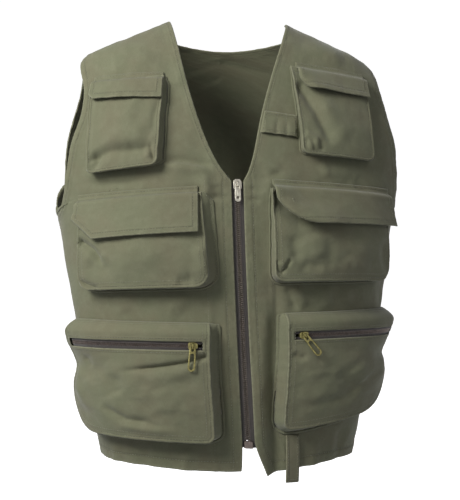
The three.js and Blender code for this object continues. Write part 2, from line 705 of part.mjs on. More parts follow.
// Columns across a pocket: its two feet, and the face with a line close to each edge.
const edgeShare = 0.05;
function pocketColumns(size) {
  const shares = [0, ...steps(edgeShare, 1 - edgeShare, 8), 1];
  return [-size.footIn, ...shares.map((p) => p * size.width), size.width + size.footOut];
}

// The bag of a pocket: face and gusset in one sheet, sewn to the vest on its sides and bottom and
// open behind and at the mouth.
function pocketBag(size, place, mouth) {
  const columns = pocketColumns(size);
  const faceRows = [0, 0.06, ...steps(0.06, 1, 6).slice(1)];
  const edgeLift = 0.9;
  const inFace = (across) => clamp(across, 0, size.width);
  const footTaper = (across, share) => lerp(inFace(across), across, share);
  const foot = columns.map((across) => {
    const below = bottomBelow(size, inFace(across)) + size.footDown;
    return pocketPoint(size, place, footTaper(across, 0.3), below, 0);
  });
  const face = faceRows.map((t) =>
    columns.map((across) => {
      const below = lerp(bottomBelow(size, inFace(across)), mouth, t);
      if (across !== inFace(across)) {
        return pocketPoint(size, place, footTaper(across, lerp(0.55, 1, smooth(t / 0.3))), below, 0);
      }
      const turned = across === 0 || across === size.width || t === 0 ? edgeLift : 1;
      return pocketPoint(size, place, across, below, faceLift(size, across, below) * turned);
    }),
  );
  return sheet(facing(place, [foot, ...face]), cloth);
}

// A flap: sewn to the vest above the mouth, then lying over the pocket's face. A curled flap turns
// its inner lower corner up and away. A clipped one has its outer lower corner cut.
function pocketFlap(size, flap, place, { curl, clip }) {
  const columns = steps(-flap.over, size.width + flap.over, 10);
  const stepUp = mouthBelow - 3;
  const rows = [0, stepUp / flap.height, ...steps(stepUp / flap.height, 1, 4).slice(1)];
  const grid = rows.map((t) =>
    columns.map((across) => {
      const p = across / size.width;
      const turned = smooth(1 - p / 0.3) * curl;
      const cut = smooth((p - 0.84) / 0.16) * clip;
      const reach = t * flap.height * (1 - t * (0.5 * turned + 0.3 * cut));
      const away = lerp(flapSeam - seam, faceLift(size, across, reach) + flapRoom, smooth(reach / stepUp));
      return pocketPoint(size, place, across, reach, away + curlHeight * turned * t * t);
    }),
  );
  return sheet(facing(place, grid), cloth);
}

// The middle line of a cargo pocket's zip, in the face, with a distance across it.
const cargoZipBelow = cargoBand + cargoZipGap;
function cargoLine(place, share, across, lift) {
  const along = lerp(cargoZipInset, cargoPocket.width - cargoZipInset, share);
  const face = faceLift(cargoPocket, along, cargoZipBelow + across);
  return pocketPoint(cargoPocket, place, along, cargoZipBelow + across, face + lift);
}

// The band over the zip slopes out from its seam and ends level with the face.
const bandFull = 0.62; // the share of the band at which it stands off as far as the face
function cargoTop(place) {
  const size = cargoPocket;
  const columns = pocketColumns(size);
  const rows = [0, 0.3, bandFull, 1];
  const grid = rows.map((t) =>
    columns.map((across) => {
      const sewn = across < 0 || across > size.width;
      const out = sewn ? 0 : Math.sin(quarterTurn * Math.min(t / bandFull, 1)) ** 0.8;
      return pocketPoint(size, place, across, cargoBand * t, faceLift(size, across, cargoBand) * out);
    }),
  );
  return sheet(facing(place, grid), cloth);
}

const cargoTapeLift = -cloth / 2 - tapeClear - zipTapeThickness / 2;
const cargoChainThickness = chainThickness - 0.4;

function cargoTape(place, way) {
  const shares = steps(0, 1.02, 8);
  const inner = cargoChainWidth / 2 + sliderClear * 2;
  const edges = [inner, inner + cargoTapeWidth / 2].map((away) => way * away);
  const face = (lift) => shares.map((share) => edges.map((away) => cargoLine(place, share, away, lift)));
  const half = zipTapeThickness / 2;
  return slab(face(cargoTapeLift + half), face(cargoTapeLift - half));
}

// The closed slider stands near the inner end of the cargo zip, and the chain runs on from it.
const sliderShare = 0.06;
function cargoChain(place) {
  const length = cargoPocket.width - 2 * cargoZipInset;
  const from = sliderShare + 1 / length;
  const line = (share, across, lift) => cargoLine(place, lerp(from, 1, share), across, cargoTapeLift + lift);
  return chainSolid(length * (1 - from), line, cargoChainWidth, cargoChainThickness);
}

// A frame on the cargo zip: Y along it towards the middle of the vest, Z off the cloth.
function cargoSliderFrame(place) {
  const origin = cargoLine(place, sliderShare, 0, cargoTapeLift);
  const y = cargoLine(place, 0, 0, 0).sub(cargoLine(place, 0.12, 0, 0)).normalize();
  const down = cargoLine(place, sliderShare, 4, 0).sub(cargoLine(place, sliderShare, -4, 0));
  const off = y.clone().cross(down).normalize().multiplyScalar(place.side);
  return new THREE.Matrix4().makeBasis(y.clone().cross(off), y, off).setPosition(origin);
}

// The tab is sewn on at both ends and stands off a little between them, open below.
function chestTab() {
  const place = pocketPlaces.chestLeft;
  const outer = place.inner - chestPocket.footIn - tab.toPocket;
  const columns = [0, 0.08, 0.36, 0.64, 0.92, 1];
  const grid = steps(0, 1, 4).map((t) =>
    columns.map((u) => {
      const drop = tab.top * vestLength + tab.fall * u + tab.height * t;
      const arc = lerp(neckHalf(drop) + tab.inset, outer, u);
      const free = u > 0 && u < 1 ? smooth(t / 0.8) : 0;
      return onVest(arc, drop, cloth / 2 + seam + tab.thickness / 2 + tab.stand * free);
    }),
  );
  return sheet(grid, tab.thickness);
}

function hemStrap() {
  const size = cargoPocket;
  const foot = pocketTop(size, pocketPlaces.cargoLeft, 0) + size.height + size.footDown + strap.below;
  const grid = steps(0, 1, 8).map((t) =>
    steps(0, 1, 2).map((u) => {
      const free = 2.2 * Math.sin(Math.PI * t);
      const lift = cloth / 2 + seam + strap.thickness / 2 + free;
      return onVest(strap.inner + strap.width * u, foot + strap.length * t, lift);
    }),
  );
  return sheet(grid, strap.thickness);
}

const vest = new THREE.Group();
function add(name, geometry, material, parent = vest) {
  const mesh = new THREE.Mesh(geometry, material);
  mesh.name = name;
  parent.add(mesh);
  return mesh;
}

add('front_right', frontPanel(right), twill);
add('front_left', frontPanel(left), twill);
add('back', backPanel(), twill);

add('zip_tape_right', zipTape(right), tape);
add('zip_tape_left', zipTape(left), tape);
add('zip_chain', frontChain(), teethMetal);
add('zip_end', zipEnd(), teethMetal);

// A slider and its pull, in a group that stands on the zip. turn is the pull's heading and tilt
// keeps its lower end off the cloth.
function addSlider(name, frame, slider, pullSize, { chainHeight, turn, tilt, material }) {
  const group = new THREE.Group();
  group.applyMatrix4(frame);
  vest.add(group);
  add(`${name}_slider`, zipSlider(slider, chainHeight, turn), material, group);
  const pull = add(`${name}_pull`, pullTab(pullSize), material, group);
  pull.position.set(0, 0, barHeight(chainHeight));
  pull.rotation.set(-tilt, 0, turn, 'ZYX');
}

addSlider('zip', frameAt(zipArc(frontSliderDrop), frontSliderDrop, zipLift), frontSlider, frontPull, {
  chainHeight: chainThickness,
  turn: 0,
  tilt: frontPullTilt,
  material: nickel,
});

// Where a flap is curled or clipped, its size says how much.
const flapPockets = [
  { name: 'chest', side: 'right', place: pocketPlaces.chestRight, curled: 0, clipped: 1 },
  { name: 'chest', side: 'left', place: pocketPlaces.chestLeft, curled: 1, clipped: 0 },
  { name: 'waist', side: 'right', place: pocketPlaces.waistRight, curled: 0, clipped: 1 },
  { name: 'waist', side: 'left', place: pocketPlaces.waistLeft, curled: 1, clipped: 0 },
];
const flapKinds = {
  chest: { size: chestPocket, cover: chestFlap },
  waist: { size: waistPocket, cover: waistFlap },
};
for (const { name, side, place, curled, clipped } of flapPockets) {
  const { size, cover } = flapKinds[name];
  const corners = { curl: cover.curl * curled, clip: cover.clip * clipped };
  add(`${name}_pocket_${side}`, pocketBag(size, place, mouthBelow), twill);
  add(`${name}_flap_${side}`, pocketFlap(size, cover, place, corners), twill);
}

const cargoPockets = [
  { name: 'cargo_right', place: pocketPlaces.cargoRight, turn: 0.97 * quarterTurn },
  { name: 'cargo_left', place: pocketPlaces.cargoLeft, turn: -0.6 * quarterTurn },
];
for (const { name, place, turn } of cargoPockets) {
  add(`${name}_pocket`, pocketBag(cargoPocket, place, cargoBand + 2 * cargoZipGap), twill);
  add(`${name}_top`, cargoTop(place), twill);
  add(`${name}_tape_upper`, cargoTape(place, -1), tape);
  add(`${name}_tape_lower`, cargoTape(place, 1), tape);
  add(`${name}_chain`, cargoChain(place), teethMetal);
  addSlider(name, cargoSliderFrame(place), cargoSlider, cargoPull, {
    chainHeight: cargoChainThickness,
    turn,
    tilt: cargoPullTilt,
    material: brass,
  });
}

add('chest_tab', chestTab(), twill);
add('hem_strap', hemStrap(), webbing);

export default vest;
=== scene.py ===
# An olive utility work vest as it hangs when worn: cloth, sewing, zips and metal, built over the
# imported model. Lengths are in millimetres until a mesh is made, and drop is measured down from
# the neck ends of the shoulder seams. Arc is the length round the body from the middle of the
# front, positive on the wearer's left.
import math

import bpy
import numpy as np
from mathutils import Matrix, Vector


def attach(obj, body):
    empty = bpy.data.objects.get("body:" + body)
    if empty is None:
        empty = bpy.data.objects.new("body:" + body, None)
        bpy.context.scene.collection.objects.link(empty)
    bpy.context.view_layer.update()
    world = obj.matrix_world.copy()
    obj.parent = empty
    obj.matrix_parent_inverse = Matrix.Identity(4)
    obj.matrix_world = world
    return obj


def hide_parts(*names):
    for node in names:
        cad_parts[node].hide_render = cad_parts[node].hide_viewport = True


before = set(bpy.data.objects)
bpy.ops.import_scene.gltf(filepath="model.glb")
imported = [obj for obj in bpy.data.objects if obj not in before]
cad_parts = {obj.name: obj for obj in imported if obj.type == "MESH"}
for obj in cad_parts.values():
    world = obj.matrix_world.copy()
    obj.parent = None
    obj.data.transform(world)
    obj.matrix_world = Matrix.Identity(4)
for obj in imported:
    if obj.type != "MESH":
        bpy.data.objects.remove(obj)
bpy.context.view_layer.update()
quarterTurn = math.pi / 2
right = -1
left = 1

# Sizes of the vest as worn: the model's, but for the armholes' front edges and the neckline's lean
vest = {
    "length": 585.0, "chestWidth": 458.0, "chestDepth": 242.0, "neckWidth": 160.0,
    "neckDrop": 226.0, "backNeckDrop": 24.0, "shoulderWidth": 380.0, "shoulderDrop": 52.0,
    "underarmDrop": 262.0, "armholeFront": {right: 64.0, left: 53.0}, "armholeBack": 54.0,
    "armholeEase": 1.65, "neckLean": 8.5, "hemSideRise": 9.0, "cloth": 1.6, "hemExtra": 0.9, "seam": 0.8,
}

# Rows of the worn form: drop, then half width, half depth in front and behind as shares of the
# chest's, and how square the section is
neckShare = vest["neckWidth"] / vest["chestWidth"]
shoulderShare = vest["shoulderWidth"] / vest["chestWidth"]
wornForm = np.array([
    [0, neckShare, 0.3, 0.43, 2],
    [vest["shoulderDrop"] * 0.48, (neckShare + shoulderShare) / 2, 0.42, 0.55, 2],
    [vest["shoulderDrop"], shoulderShare, 0.55, 0.66, 2.05],
    [vest["underarmDrop"] * 0.42, 1.0, 0.745, 0.81, 2.15],
    [vest["underarmDrop"] * 0.61, 1.065, 0.86, 0.885, 2.2],
    [vest["underarmDrop"] * 0.8, 1.048, 0.95, 0.925, 2.2],
    [vest["underarmDrop"] * 0.97, 1.0, 1.0, 0.94, 2.25],
    [vest["length"] * 0.515, 0.952, 1.025, 0.94, 2.3],
    [vest["length"] * 0.615, 0.908, 1.04, 0.925, 2.35],
    [vest["length"] * 0.75, 0.856, 1.04, 0.91, 2.35],
    [vest["length"] * 0.89, 0.79, 1.01, 0.885, 2.35],
    [vest["length"] * 1.04, 0.7, 0.955, 0.855, 2.35],
])

# Soft folds of the hanging cloth, the same as the model's: from and to (arc as a share of a
# quarter of the girth, drop as a share of the length), width and height
softFolds = [
    ((-0.07, 0.42), (-0.34, 0.37), 13, 2.6),
    ((0.09, 0.43), (0.3, 0.38), 12, 1.8),
    ((-0.97, 0.47), (-0.86, 0.7), 17, 3.6),
    ((0.97, 0.47), (0.88, 0.68), 17, 3.6),
    ((0.1, 0.74), (0.12, 1.02), 12, 4.5),
    ((-0.04, 0.8), (-0.05, 1.02), 12, 2.2),
    ((1.34, 0.5), (1.42, 1.02), 20, 5),
    ((-1.34, 0.5), (-1.42, 1.02), 20, 5),
    ((1.72, 0.62), (1.76, 1.02), 22, 4),
    ((-1.74, 0.58), (-1.8, 1.02), 22, 4.4),
    ((1.35, 0.3), (1.72, 0.35), 15, 2.4),
    ((-1.35, 0.3), (-1.7, 0.36), 15, 2.4),
]


def smooth(t):
    t = np.clip(t, 0.0, 1.0)
    return t * t * (3 - 2 * t)


def mix(a, b, t):
    return a + (b - a) * t


def unit(v):
    return v / np.maximum(np.linalg.norm(v, axis=-1, keepdims=True), 1e-9)


def fineSections():
    drops = wornForm[:, 0]
    fine = np.linspace(0, drops[-1], 1601)
    k = np.clip(np.searchsorted(drops, fine) - 1, 0, len(drops) - 2)
    rows = np.arange(len(drops))
    before = wornForm[np.maximum(rows - 1, 0)]
    after = wornForm[np.minimum(rows + 1, len(drops) - 1)]
    slopes = (after - before) / (after[:, :1] - before[:, :1])
    span = (drops[k + 1] - drops[k])[:, None]
    t = (fine - drops[k])[:, None] / span
    values = (2 * t**3 - 3 * t**2 + 1) * wornForm[k] + (3 * t**2 - 2 * t**3) * wornForm[k + 1]
    values += ((t**3 - 2 * t**2 + t) * slopes[k] + (t**3 - t**2) * slopes[k + 1]) * span
    values[:, 1] *= vest["chestWidth"] / 2
    values[:, 2:4] *= vest["chestDepth"] / 2
    return fine, values


fineDrops, fineValues = fineSections()


def bodyRadius(angle, drop):
    halfWidth, front, back, square = [np.interp(drop, fineDrops, fineValues[:, k]) for k in (1, 2, 3, 4)]
    depth = np.where(np.cos(angle) >= 0, front, back)
    across = np.abs(np.sin(angle) / halfWidth) ** square
    along = np.abs(np.cos(angle) / depth) ** square
    return (across + along) ** (-1 / square)


def bodyPoint(angle, drop):
    radius = bodyRadius(angle, drop)
    return np.stack([radius * np.sin(angle), -radius * np.cos(angle), -drop + 0 * radius], axis=-1)


def bodyNormal(angle, drop):
    around = bodyPoint(angle + 0.01, drop) - bodyPoint(angle - 0.01, drop)
    down = bodyPoint(angle, drop + 1.5) - bodyPoint(angle, np.maximum(drop - 1.5, 0))
    return unit(np.cross(down, around))


def foldLift(angle, drop):
    girth = bodyRadius(angle, drop) * quarterTurn
    x = angle / quarterTurn
    y = drop / vest["length"]
    lift = np.zeros_like(girth)
    for start, end, width, height in softFolds:
        runX = (end[0] - start[0]) * girth
        runY = (end[1] - start[1]) * vest["length"]
        fromX = (x - start[0]) * girth
        fromY = (y - start[1]) * vest["length"]
        along = np.clip((fromX * runX + fromY * runY) / (runX**2 + runY**2), 0, 1)
        away = np.hypot(fromX - along * runX, fromY - along * runY) / width
        lift += height * smooth(along / 0.35) * np.exp(-away * away)
    return lift


# Length round the body as a table, and the angle at a length
tableDrops = np.arange(0, 632, 2.0)
tableAngles = np.linspace(0, math.pi, 361)
ringPoints = bodyPoint(tableAngles[None, :], tableDrops[:, None])
ringSteps = np.linalg.norm(np.diff(ringPoints, axis=1), axis=2)
arcTable = np.concatenate([np.zeros((len(tableDrops), 1)), np.cumsum(ringSteps, axis=1)], axis=1)
halfGirth = arcTable[:, -1]
evenShares = np.linspace(0, 1, 361)
angleTable = np.array([np.interp(evenShares * row[-1], row, tableAngles) for row in arcTable])


def lookUp(table, row, column):
    row = np.clip(row, 0, table.shape[0] - 1.001)
    column = np.clip(column, 0, table.shape[1] - 1.001)
    r = row.astype(int)
    c = column.astype(int)
    r1 = row - r
    c1 = column - c
    upper = table[r, c] * (1 - c1) + table[r, c + 1] * c1
    lower = table[r + 1, c] * (1 - c1) + table[r + 1, c + 1] * c1
    return upper * (1 - r1) + lower * r1


def arcOf(angle, drop):
    turned = (angle + math.pi) % (2 * math.pi) - math.pi
    return np.sign(turned) * lookUp(arcTable, drop / 2, np.abs(turned) / math.pi * 360)


def angleAt(arc, drop):
    whole = np.interp(drop, tableDrops, halfGirth)
    return np.sign(arc) * lookUp(angleTable, drop / 2, np.abs(arc) / whole * 360)


def ripple(x, y, seed):
    # smooth gradient noise on a unit lattice, about -0.7 to 0.7
    xi = np.floor(x)
    yi = np.floor(y)
    fx = x - xi
    fy = y - yi
    u = fx**3 * (fx * (fx * 6 - 15) + 10)
    v = fy**3 * (fy * (fy * 6 - 15) + 10)

    def corner(i, j):
        turn = np.sin((xi + i) * 127.1 + (yi + j) * 311.7 + seed * 74.7) * 43758.5453
        turn = (turn - np.floor(turn)) * 2 * math.pi
        return np.cos(turn) * (fx - i) + np.sin(turn) * (fy - j)

    return mix(mix(corner(0, 0), corner(1, 0), u), mix(corner(0, 1), corner(1, 1), u), v)


def creaseNoise(x, y, seed):
    # crumpled cloth: thin ridges between soft hollows
    bentX = x + 0.6 * ripple(x * 0.7, y * 0.7, seed + 5)
    bentY = y + 0.6 * ripple(x * 0.7 + 9, y * 0.7, seed + 6)
    return 0.5 - np.abs(ripple(bentX, bentY, seed)) * 2


def strokes(x, y, rows):
    # ridges (height over 0) and creases (under 0) along drawn lines; "step" stands on one side
    total = np.zeros(np.broadcast(x, y).shape)
    for row in rows:
        path = np.array(row["path"], float)
        width = row["width"]
        lengths = np.hypot(*np.diff(path, axis=0).T)
        starts = np.concatenate([[0], np.cumsum(lengths)])
        best = np.full(total.shape, 1e9)
        along = np.zeros(total.shape)
        side = np.zeros(total.shape)
        for k, length in enumerate(lengths):
            run = (path[k + 1] - path[k]) / length
            fromX = x - path[k, 0]
            fromY = y - path[k, 1]
            t = np.clip(fromX * run[0] + fromY * run[1], 0, length)
            away = np.hypot(fromX - t * run[0], fromY - t * run[1])
            closer = away < best
            best = np.where(closer, away, best)
            along = np.where(closer, starts[k] + t, along)
            side = np.where(closer, fromX * run[1] - fromY * run[0], side)
        share = along / starts[-1]
        fade = smooth(share / row.get("lead", 0.3)) * smooth((1 - share) / row.get("tail", 0.3))
        away = best / width
        if row.get("kind") == "step":
            form = np.sign(side) * away * np.exp(-away * away) * 2.3
        else:
            form = np.exp(-away * away)
        total += row["height"] * fade * form
    return total


# Creases and ridges drawn on the two fronts, by arc and drop
frontCreases = [
    # under the point of the V, the wearer's right
    {"path": [(-26, 212), (-62, 206), (-100, 202)], "width": 7, "height": 1.8, "kind": "step"},
    {"path": [(-10, 238), (-24, 234), (-36, 238)], "width": 4, "height": -1.0},
    {"path": [(-10, 249), (-26, 246), (-40, 252)], "width": 4.5, "height": -1.0},
    {"path": [(-48, 214), (-40, 236), (-44, 262)], "width": 8, "height": 1.5},
    # the same on the left
    {"path": [(12, 238), (22, 236), (32, 240)], "width": 3.5, "height": -0.8},
    {"path": [(11, 250), (22, 249), (30, 252)], "width": 3.5, "height": -0.8},
    {"path": [(18, 196), (40, 214), (60, 214)], "width": 8, "height": 1.1, "kind": "step"},
    # between the chest pocket and the waist flap
    {"path": [(-205, 214), (-170, 218), (-120, 212)], "width": 6, "height": 1.0},
    {"path": [(-200, 226), (-150, 228), (-96, 221)], "width": 6, "height": -0.9},
    {"path": [(100, 204), (120, 214), (170, 210)], "width": 8, "height": 1.0},
    {"path": [(112, 196), (116, 222)], "width": 6, "height": 0.9},
    # above the chest pockets
    {"path": [(-100, 44), (-120, 70), (-170, 76)], "width": 14, "height": 1.6},
    {"path": [(100, 30), (130, 52), (160, 56)], "width": 14, "height": 1.6},
    # the strip between the zip and the lower pockets
    {"path": [(-30, 365), (-24, 470), (-28, 590)], "width": 9, "height": -1.4},
    {"path": [(47, 340), (45, 470), (50, 600)], "width": 8, "height": -3.4, "tail": 0.05},
    {"path": [(30, 360), (31, 470), (34, 600)], "width": 9, "height": 1.2},
    # between the waist and the cargo pockets on the left
    {"path": [(66, 352), (80, 388)], "width": 8, "height": 1.8, "kind": "step"},
    {"path": [(112, 354), (116, 388)], "width": 8, "height": 1.2},
    {"path": [(150, 354), (146, 384)], "width": 9, "height": 1.2},
    {"path": [(-60, 366), (-90, 392)], "width": 8, "height": 1.0},
    {"path": [(-150, 362), (-140, 392)], "width": 10, "height": 1.0},
    # the hem
    {"path": [(-60, 552), (-66, 600)], "width": 7, "height": 1.3, "tail": 0.05},
    {"path": [(-120, 550), (-112, 600)], "width": 8, "height": -1.3, "tail": 0.05},
    {"path": [(-160, 552), (-165, 600)], "width": 9, "height": 1.3, "tail": 0.05},
    {"path": [(104, 540), (98, 600)], "width": 8, "height": 1.5, "tail": 0.05},
    {"path": [(140, 532), (146, 600)], "width": 9, "height": -1.4, "tail": 0.05},
]
clothWear = {"broad": 1.9, "soft": 1.0, "fine": 0.2, "crumple": 0.8, "drawn": 1.7}


def panelRelief(arc, drop):
    calm = smooth((np.abs(arc - 6) - 12) / 20)
    relief = clothWear["broad"] * ripple(arc / 70, drop / 95, 1)
    relief = relief + clothWear["soft"] * ripple(arc / 24, drop / 34, 2)
    relief = relief + clothWear["fine"] * ripple(arc / 7, drop / 9, 3)
    relief = relief + clothWear["crumple"] * creaseNoise(arc / 34, drop / 42, 4)
    return relief * mix(0.25, 1, calm) + strokes(arc, drop, frontCreases) * clothWear["drawn"]


def offCloth(angle, drop, lift=0.0, relief=1.0):
    # a point off the middle of the panel cloth; what stands off it follows its creases less
    angle, drop, lift = np.broadcast_arrays(*[np.asarray(v, float) for v in (angle, drop, lift)])
    arc = arcOf(angle, drop)
    kept = np.exp(-np.maximum(lift - 2.5, 0) / 5) * relief
    raised = foldLift(angle, drop) + panelRelief(arc, drop) * kept + lift
    return bodyPoint(angle, drop) + bodyNormal(angle, drop) * raised[..., None]


def onVest(arc, drop, lift=0.0, relief=1.0):
    arc, drop = np.broadcast_arrays(np.asarray(arc, float), np.asarray(drop, float))
    return offCloth(angleAt(arc, drop), drop, lift, relief)


# Cloth as closed sheets


def gridQuads(rows, columns, kept=None):
    index = np.arange(rows * columns).reshape(rows, columns)
    quads = np.stack([index[:-1, :-1], index[:-1, 1:], index[1:, 1:], index[1:, :-1]], axis=-1)
    if kept is not None:
        return quads[kept]
    return quads.reshape(-1, 4)


def quadNormals(points, quads):
    return np.cross(points[quads[:, 2]] - points[quads[:, 0]], points[quads[:, 3]] - points[quads[:, 1]])


def facingAway(points, quads, outward):
    # quads turned so that they face the way the outward directions go
    if np.sum(quadNormals(points, quads) * outward[quads[:, 0]]) < 0:
        return quads[:, ::-1]
    return quads


def pointNormals(points, quads):
    flat = quadNormals(points, quads)
    total = np.zeros_like(points)
    for k in range(4):
        np.add.at(total, quads[:, k], flat)
    return unit(total)


def closedSheet(points, quads, thickness, extra=0.0):
    # outer face, inner face and a rounded edge all round, as points and quads
    normals = pointNormals(points, quads)
    count = len(points)
    outer = points + normals * (thickness / 2)
    inner = points - normals * (thickness / 2 + np.asarray(extra))[..., None]
    a = quads.ravel()
    b = np.roll(quads, -1, axis=1).ravel()
    free = ~np.isin(a.astype(np.int64) * count + b, b.astype(np.int64) * count + a)
    a = a[free]
    b = b[free]
    tangent = np.zeros_like(points)
    run = unit(points[b] - points[a])
    np.add.at(tangent, a, run)
    np.add.at(tangent, b, run)
    away = unit(np.cross(tangent, normals))
    rimOf = np.full(count, -1)
    edgePoints = np.unique(np.concatenate([a, b]))
    rimOf[edgePoints] = 2 * count + np.arange(len(edgePoints))
    rim = (outer[edgePoints] + inner[edgePoints]) / 2 + away[edgePoints] * thickness * 0.45
    upper = np.stack([b, a, rimOf[a], rimOf[b]], axis=1)
    lower = np.stack([rimOf[b], rimOf[a], a + count, b + count], axis=1)
    faces = np.concatenate([quads, quads[:, ::-1] + count, upper, lower])
    source = np.concatenate([np.arange(count), np.arange(count), edgePoints])
    return np.concatenate([outer, inner, rim]), faces, source, normals


def makeMesh(name, points, faces):
    mesh = bpy.data.meshes.new(name)
    mesh.vertices.add(len(points))
    mesh.vertices.foreach_set("co", (points * 0.001).astype(np.float32).ravel())
    corners = faces.shape[1]
    mesh.loops.add(faces.size)
    mesh.loops.foreach_set("vertex_index", faces.astype(np.int32).ravel())
    mesh.polygons.add(len(faces))
    mesh.polygons.foreach_set("loop_start", np.arange(0, faces.size, corners, dtype=np.int32))
    mesh.update(calc_edges=True)
    mesh.validate()
    mesh.polygons.foreach_set("use_smooth", np.ones(len(mesh.polygons), bool))
    return mesh


def addPiece(name, mesh, material, nodes, body="vest"):
    piece = bpy.data.objects.new(name, mesh)
    bpy.context.scene.collection.objects.link(piece)
    if len(mesh.materials) == 0:
        mesh.materials.append(material)
    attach(piece, body)
    if nodes:
        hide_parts(*nodes)
    return piece


def addCloth(name, points, quads, outward, weave, sewn, material, nodes,
             thickness=vest["cloth"], extra=0.0):
    # weave holds each point's place on the cloth, and sewn its distance from an edge in shares of
    # the distance of the stitching there
    points = points.reshape(-1, 3)
    outward = outward.reshape(-1, 3)
    quads = facingAway(points, quads, outward)
    extra = np.broadcast_to(np.asarray(extra, float).ravel(), (len(points),))
    sheetPoints, faces, source, normals = closedSheet(points, quads, thickness, extra)
    mesh = makeMesh(name, sheetPoints, faces)
    place = mesh.attributes.new("weave", "FLOAT_VECTOR", "POINT")
    flat = np.zeros((len(sheetPoints), 3), np.float32)
    flat[:, :2] = weave.reshape(-1, 2)[source]
    place.data.foreach_set("vector", flat.ravel())
    edge = mesh.attributes.new("sewn", "FLOAT", "POINT")
    edge.data.foreach_set("value", sewn.ravel()[source].astype(np.float32))
    piece = addPiece(name, mesh, material, nodes)
    return piece, points + normals * (thickness / 2), normals


# Threads: each stitch is a short capsule that dips into the cloth at both ends
thread = {"stitch": 2.7, "gap": 0.9, "width": 0.62, "height": 0.42, "rise": 0.1}
stitchForm = np.array([
    [-0.5, 0, -0.5],
    [-0.34, -0.5, -0.3], [-0.34, 0.5, -0.3], [-0.34, 0.3, 0.42], [-0.34, -0.3, 0.42],
    [0.34, -0.5, -0.3], [0.34, 0.5, -0.3], [0.34, 0.3, 0.42], [0.34, -0.3, 0.42],
    [0.5, 0, -0.5],
])
stitchFaces = np.array([
    [0, 1, 4], [0, 4, 3], [0, 3, 2], [0, 2, 1],
    [1, 5, 8], [1, 8, 4], [4, 8, 7], [4, 7, 3], [3, 7, 6], [3, 6, 2], [2, 6, 5], [2, 5, 1],
    [9, 8, 5], [9, 7, 8], [9, 6, 7], [9, 5, 6],
])


def stitchesAlong(path, normals):
    # points of the stitches on a line that lies on the cloth
    stitch = thread["stitch"]
    pitch = stitch + thread["gap"]
    steps = np.linalg.norm(np.diff(path, axis=0), axis=1)
    lengths = np.concatenate([[0], np.cumsum(steps)])
    count = int(lengths[-1] / pitch)
    if count < 1:
        return np.zeros((0, len(stitchForm), 3))
    middle = (np.arange(count) + 0.5) * lengths[-1] / count

    def at(s, values):
        return np.stack([np.interp(s, lengths, values[:, k]) for k in range(3)], axis=1)

    run = unit(at(middle + stitch / 2, path) - at(middle - stitch / 2, path))
    up = unit(at(middle, normals))
    over = np.cross(up, run)
    size = np.array([stitch, thread["width"], thread["height"]])
    form = stitchForm * size
    centre = at(middle, path) + up * thread["rise"]
    return (
        centre[:, None, :]
        + form[None, :, :1] * run[:, None, :]
        + form[None, :, 1:2] * over[:, None, :]
        + form[None, :, 2:] * up[:, None, :]
    )


def addStitches(name, runs):
    stitched = np.concatenate([stitchesAlong(path, normals) for path, normals in runs])
    count = len(stitched)
    faces = (stitchFaces[None, :, :] + (np.arange(count) * len(stitchForm))[:, None, None]).reshape(-1, 3)
    addPiece(name, makeMesh(name, stitched.reshape(-1, 3), faces), oliveThread, [])


# Materials


def startMaterial(name, colour, roughness, metallic=0.0):
    material = bpy.data.materials.new(name)
    material.use_nodes = True
    tree = material.node_tree
    shader = tree.nodes["Principled BSDF"]
    shader.inputs["Base Color"].default_value = (*colour, 1)
    shader.inputs["Roughness"].default_value = roughness
    shader.inputs["Metallic"].default_value = metallic
    return material, tree, shader


def node(tree, kind, **settings):
    made = tree.nodes.new(kind)
    for key, value in settings.items():
        setattr(made, key, value)
    return made


def maths(tree, operation, a, b=None, c=None):
    made = node(tree, "ShaderNodeMath", operation=operation)
    for k, value in enumerate([a, b, c]):
        if value is None:
            continue
        if isinstance(value, (int, float)):
            made.inputs[k].default_value = value
        else:
            tree.links.new(value, made.inputs[k])
    return made.outputs[0]


def blend(tree, factor, a, b, mode="MIX"):
    made = node(tree, "ShaderNodeMix", data_type="RGBA", blend_type=mode)
    for socket, value in ((made.inputs[0], factor), (made.inputs[6], a), (made.inputs[7], b)):
        if isinstance(value, tuple):
            socket.default_value = (*value, 1)
        elif isinstance(value, (int, float)):
            socket.default_value = value
        else:
            tree.links.new(value, socket)
    return made.outputs[2]


def noise(tree, vector, scale, detail=3.0, roughness=0.5, stretch=None):
    if stretch:
        spread = node(tree, "ShaderNodeMapping")
        spread.inputs["Scale"].default_value = (*stretch, 1)
        tree.links.new(vector, spread.inputs[0])
        vector = spread.outputs[0]
    made = node(tree, "ShaderNodeTexNoise")
    made.inputs["Scale"].default_value = scale
    made.inputs["Detail"].default_value = detail
    made.inputs["Roughness"].default_value = roughness
    tree.links.new(vector, made.inputs["Vector"])
    return made.outputs["Fac"]


def ramp(tree, value, low, high):
    made = node(tree, "ShaderNodeMapRange", interpolation_type="SMOOTHSTEP")
    made.inputs[1].default_value = low
    made.inputs[2].default_value = high
    tree.links.new(value, made.inputs[0])
    return made.outputs[0]


def attribute(tree, name):
    return node(tree, "ShaderNodeAttribute", attribute_name=name)


twillCloth = {
    "olive": (0.158, 0.168, 0.100), "worn": (0.225, 0.228, 0.148), "deep": (0.085, 0.090, 0.052),
    "brown": (0.160, 0.153, 0.094), "twillPitch": 0.46, "roughness": 0.86, "sheen": 0.22,
    "wornPatches": 0.32, "wornGrain": 0.30, "slubs": 0.22, "weaveShade": 0.28, "rubbedEdge": 0.75,
    "furrowShade": 0.30,
}
# heights in the cloth's bump, in millimetres
clothBump = {"weave": 0.05, "grain": 0.10, "patch": 0.45, "pucker": 0.9, "furrow": 0.45}


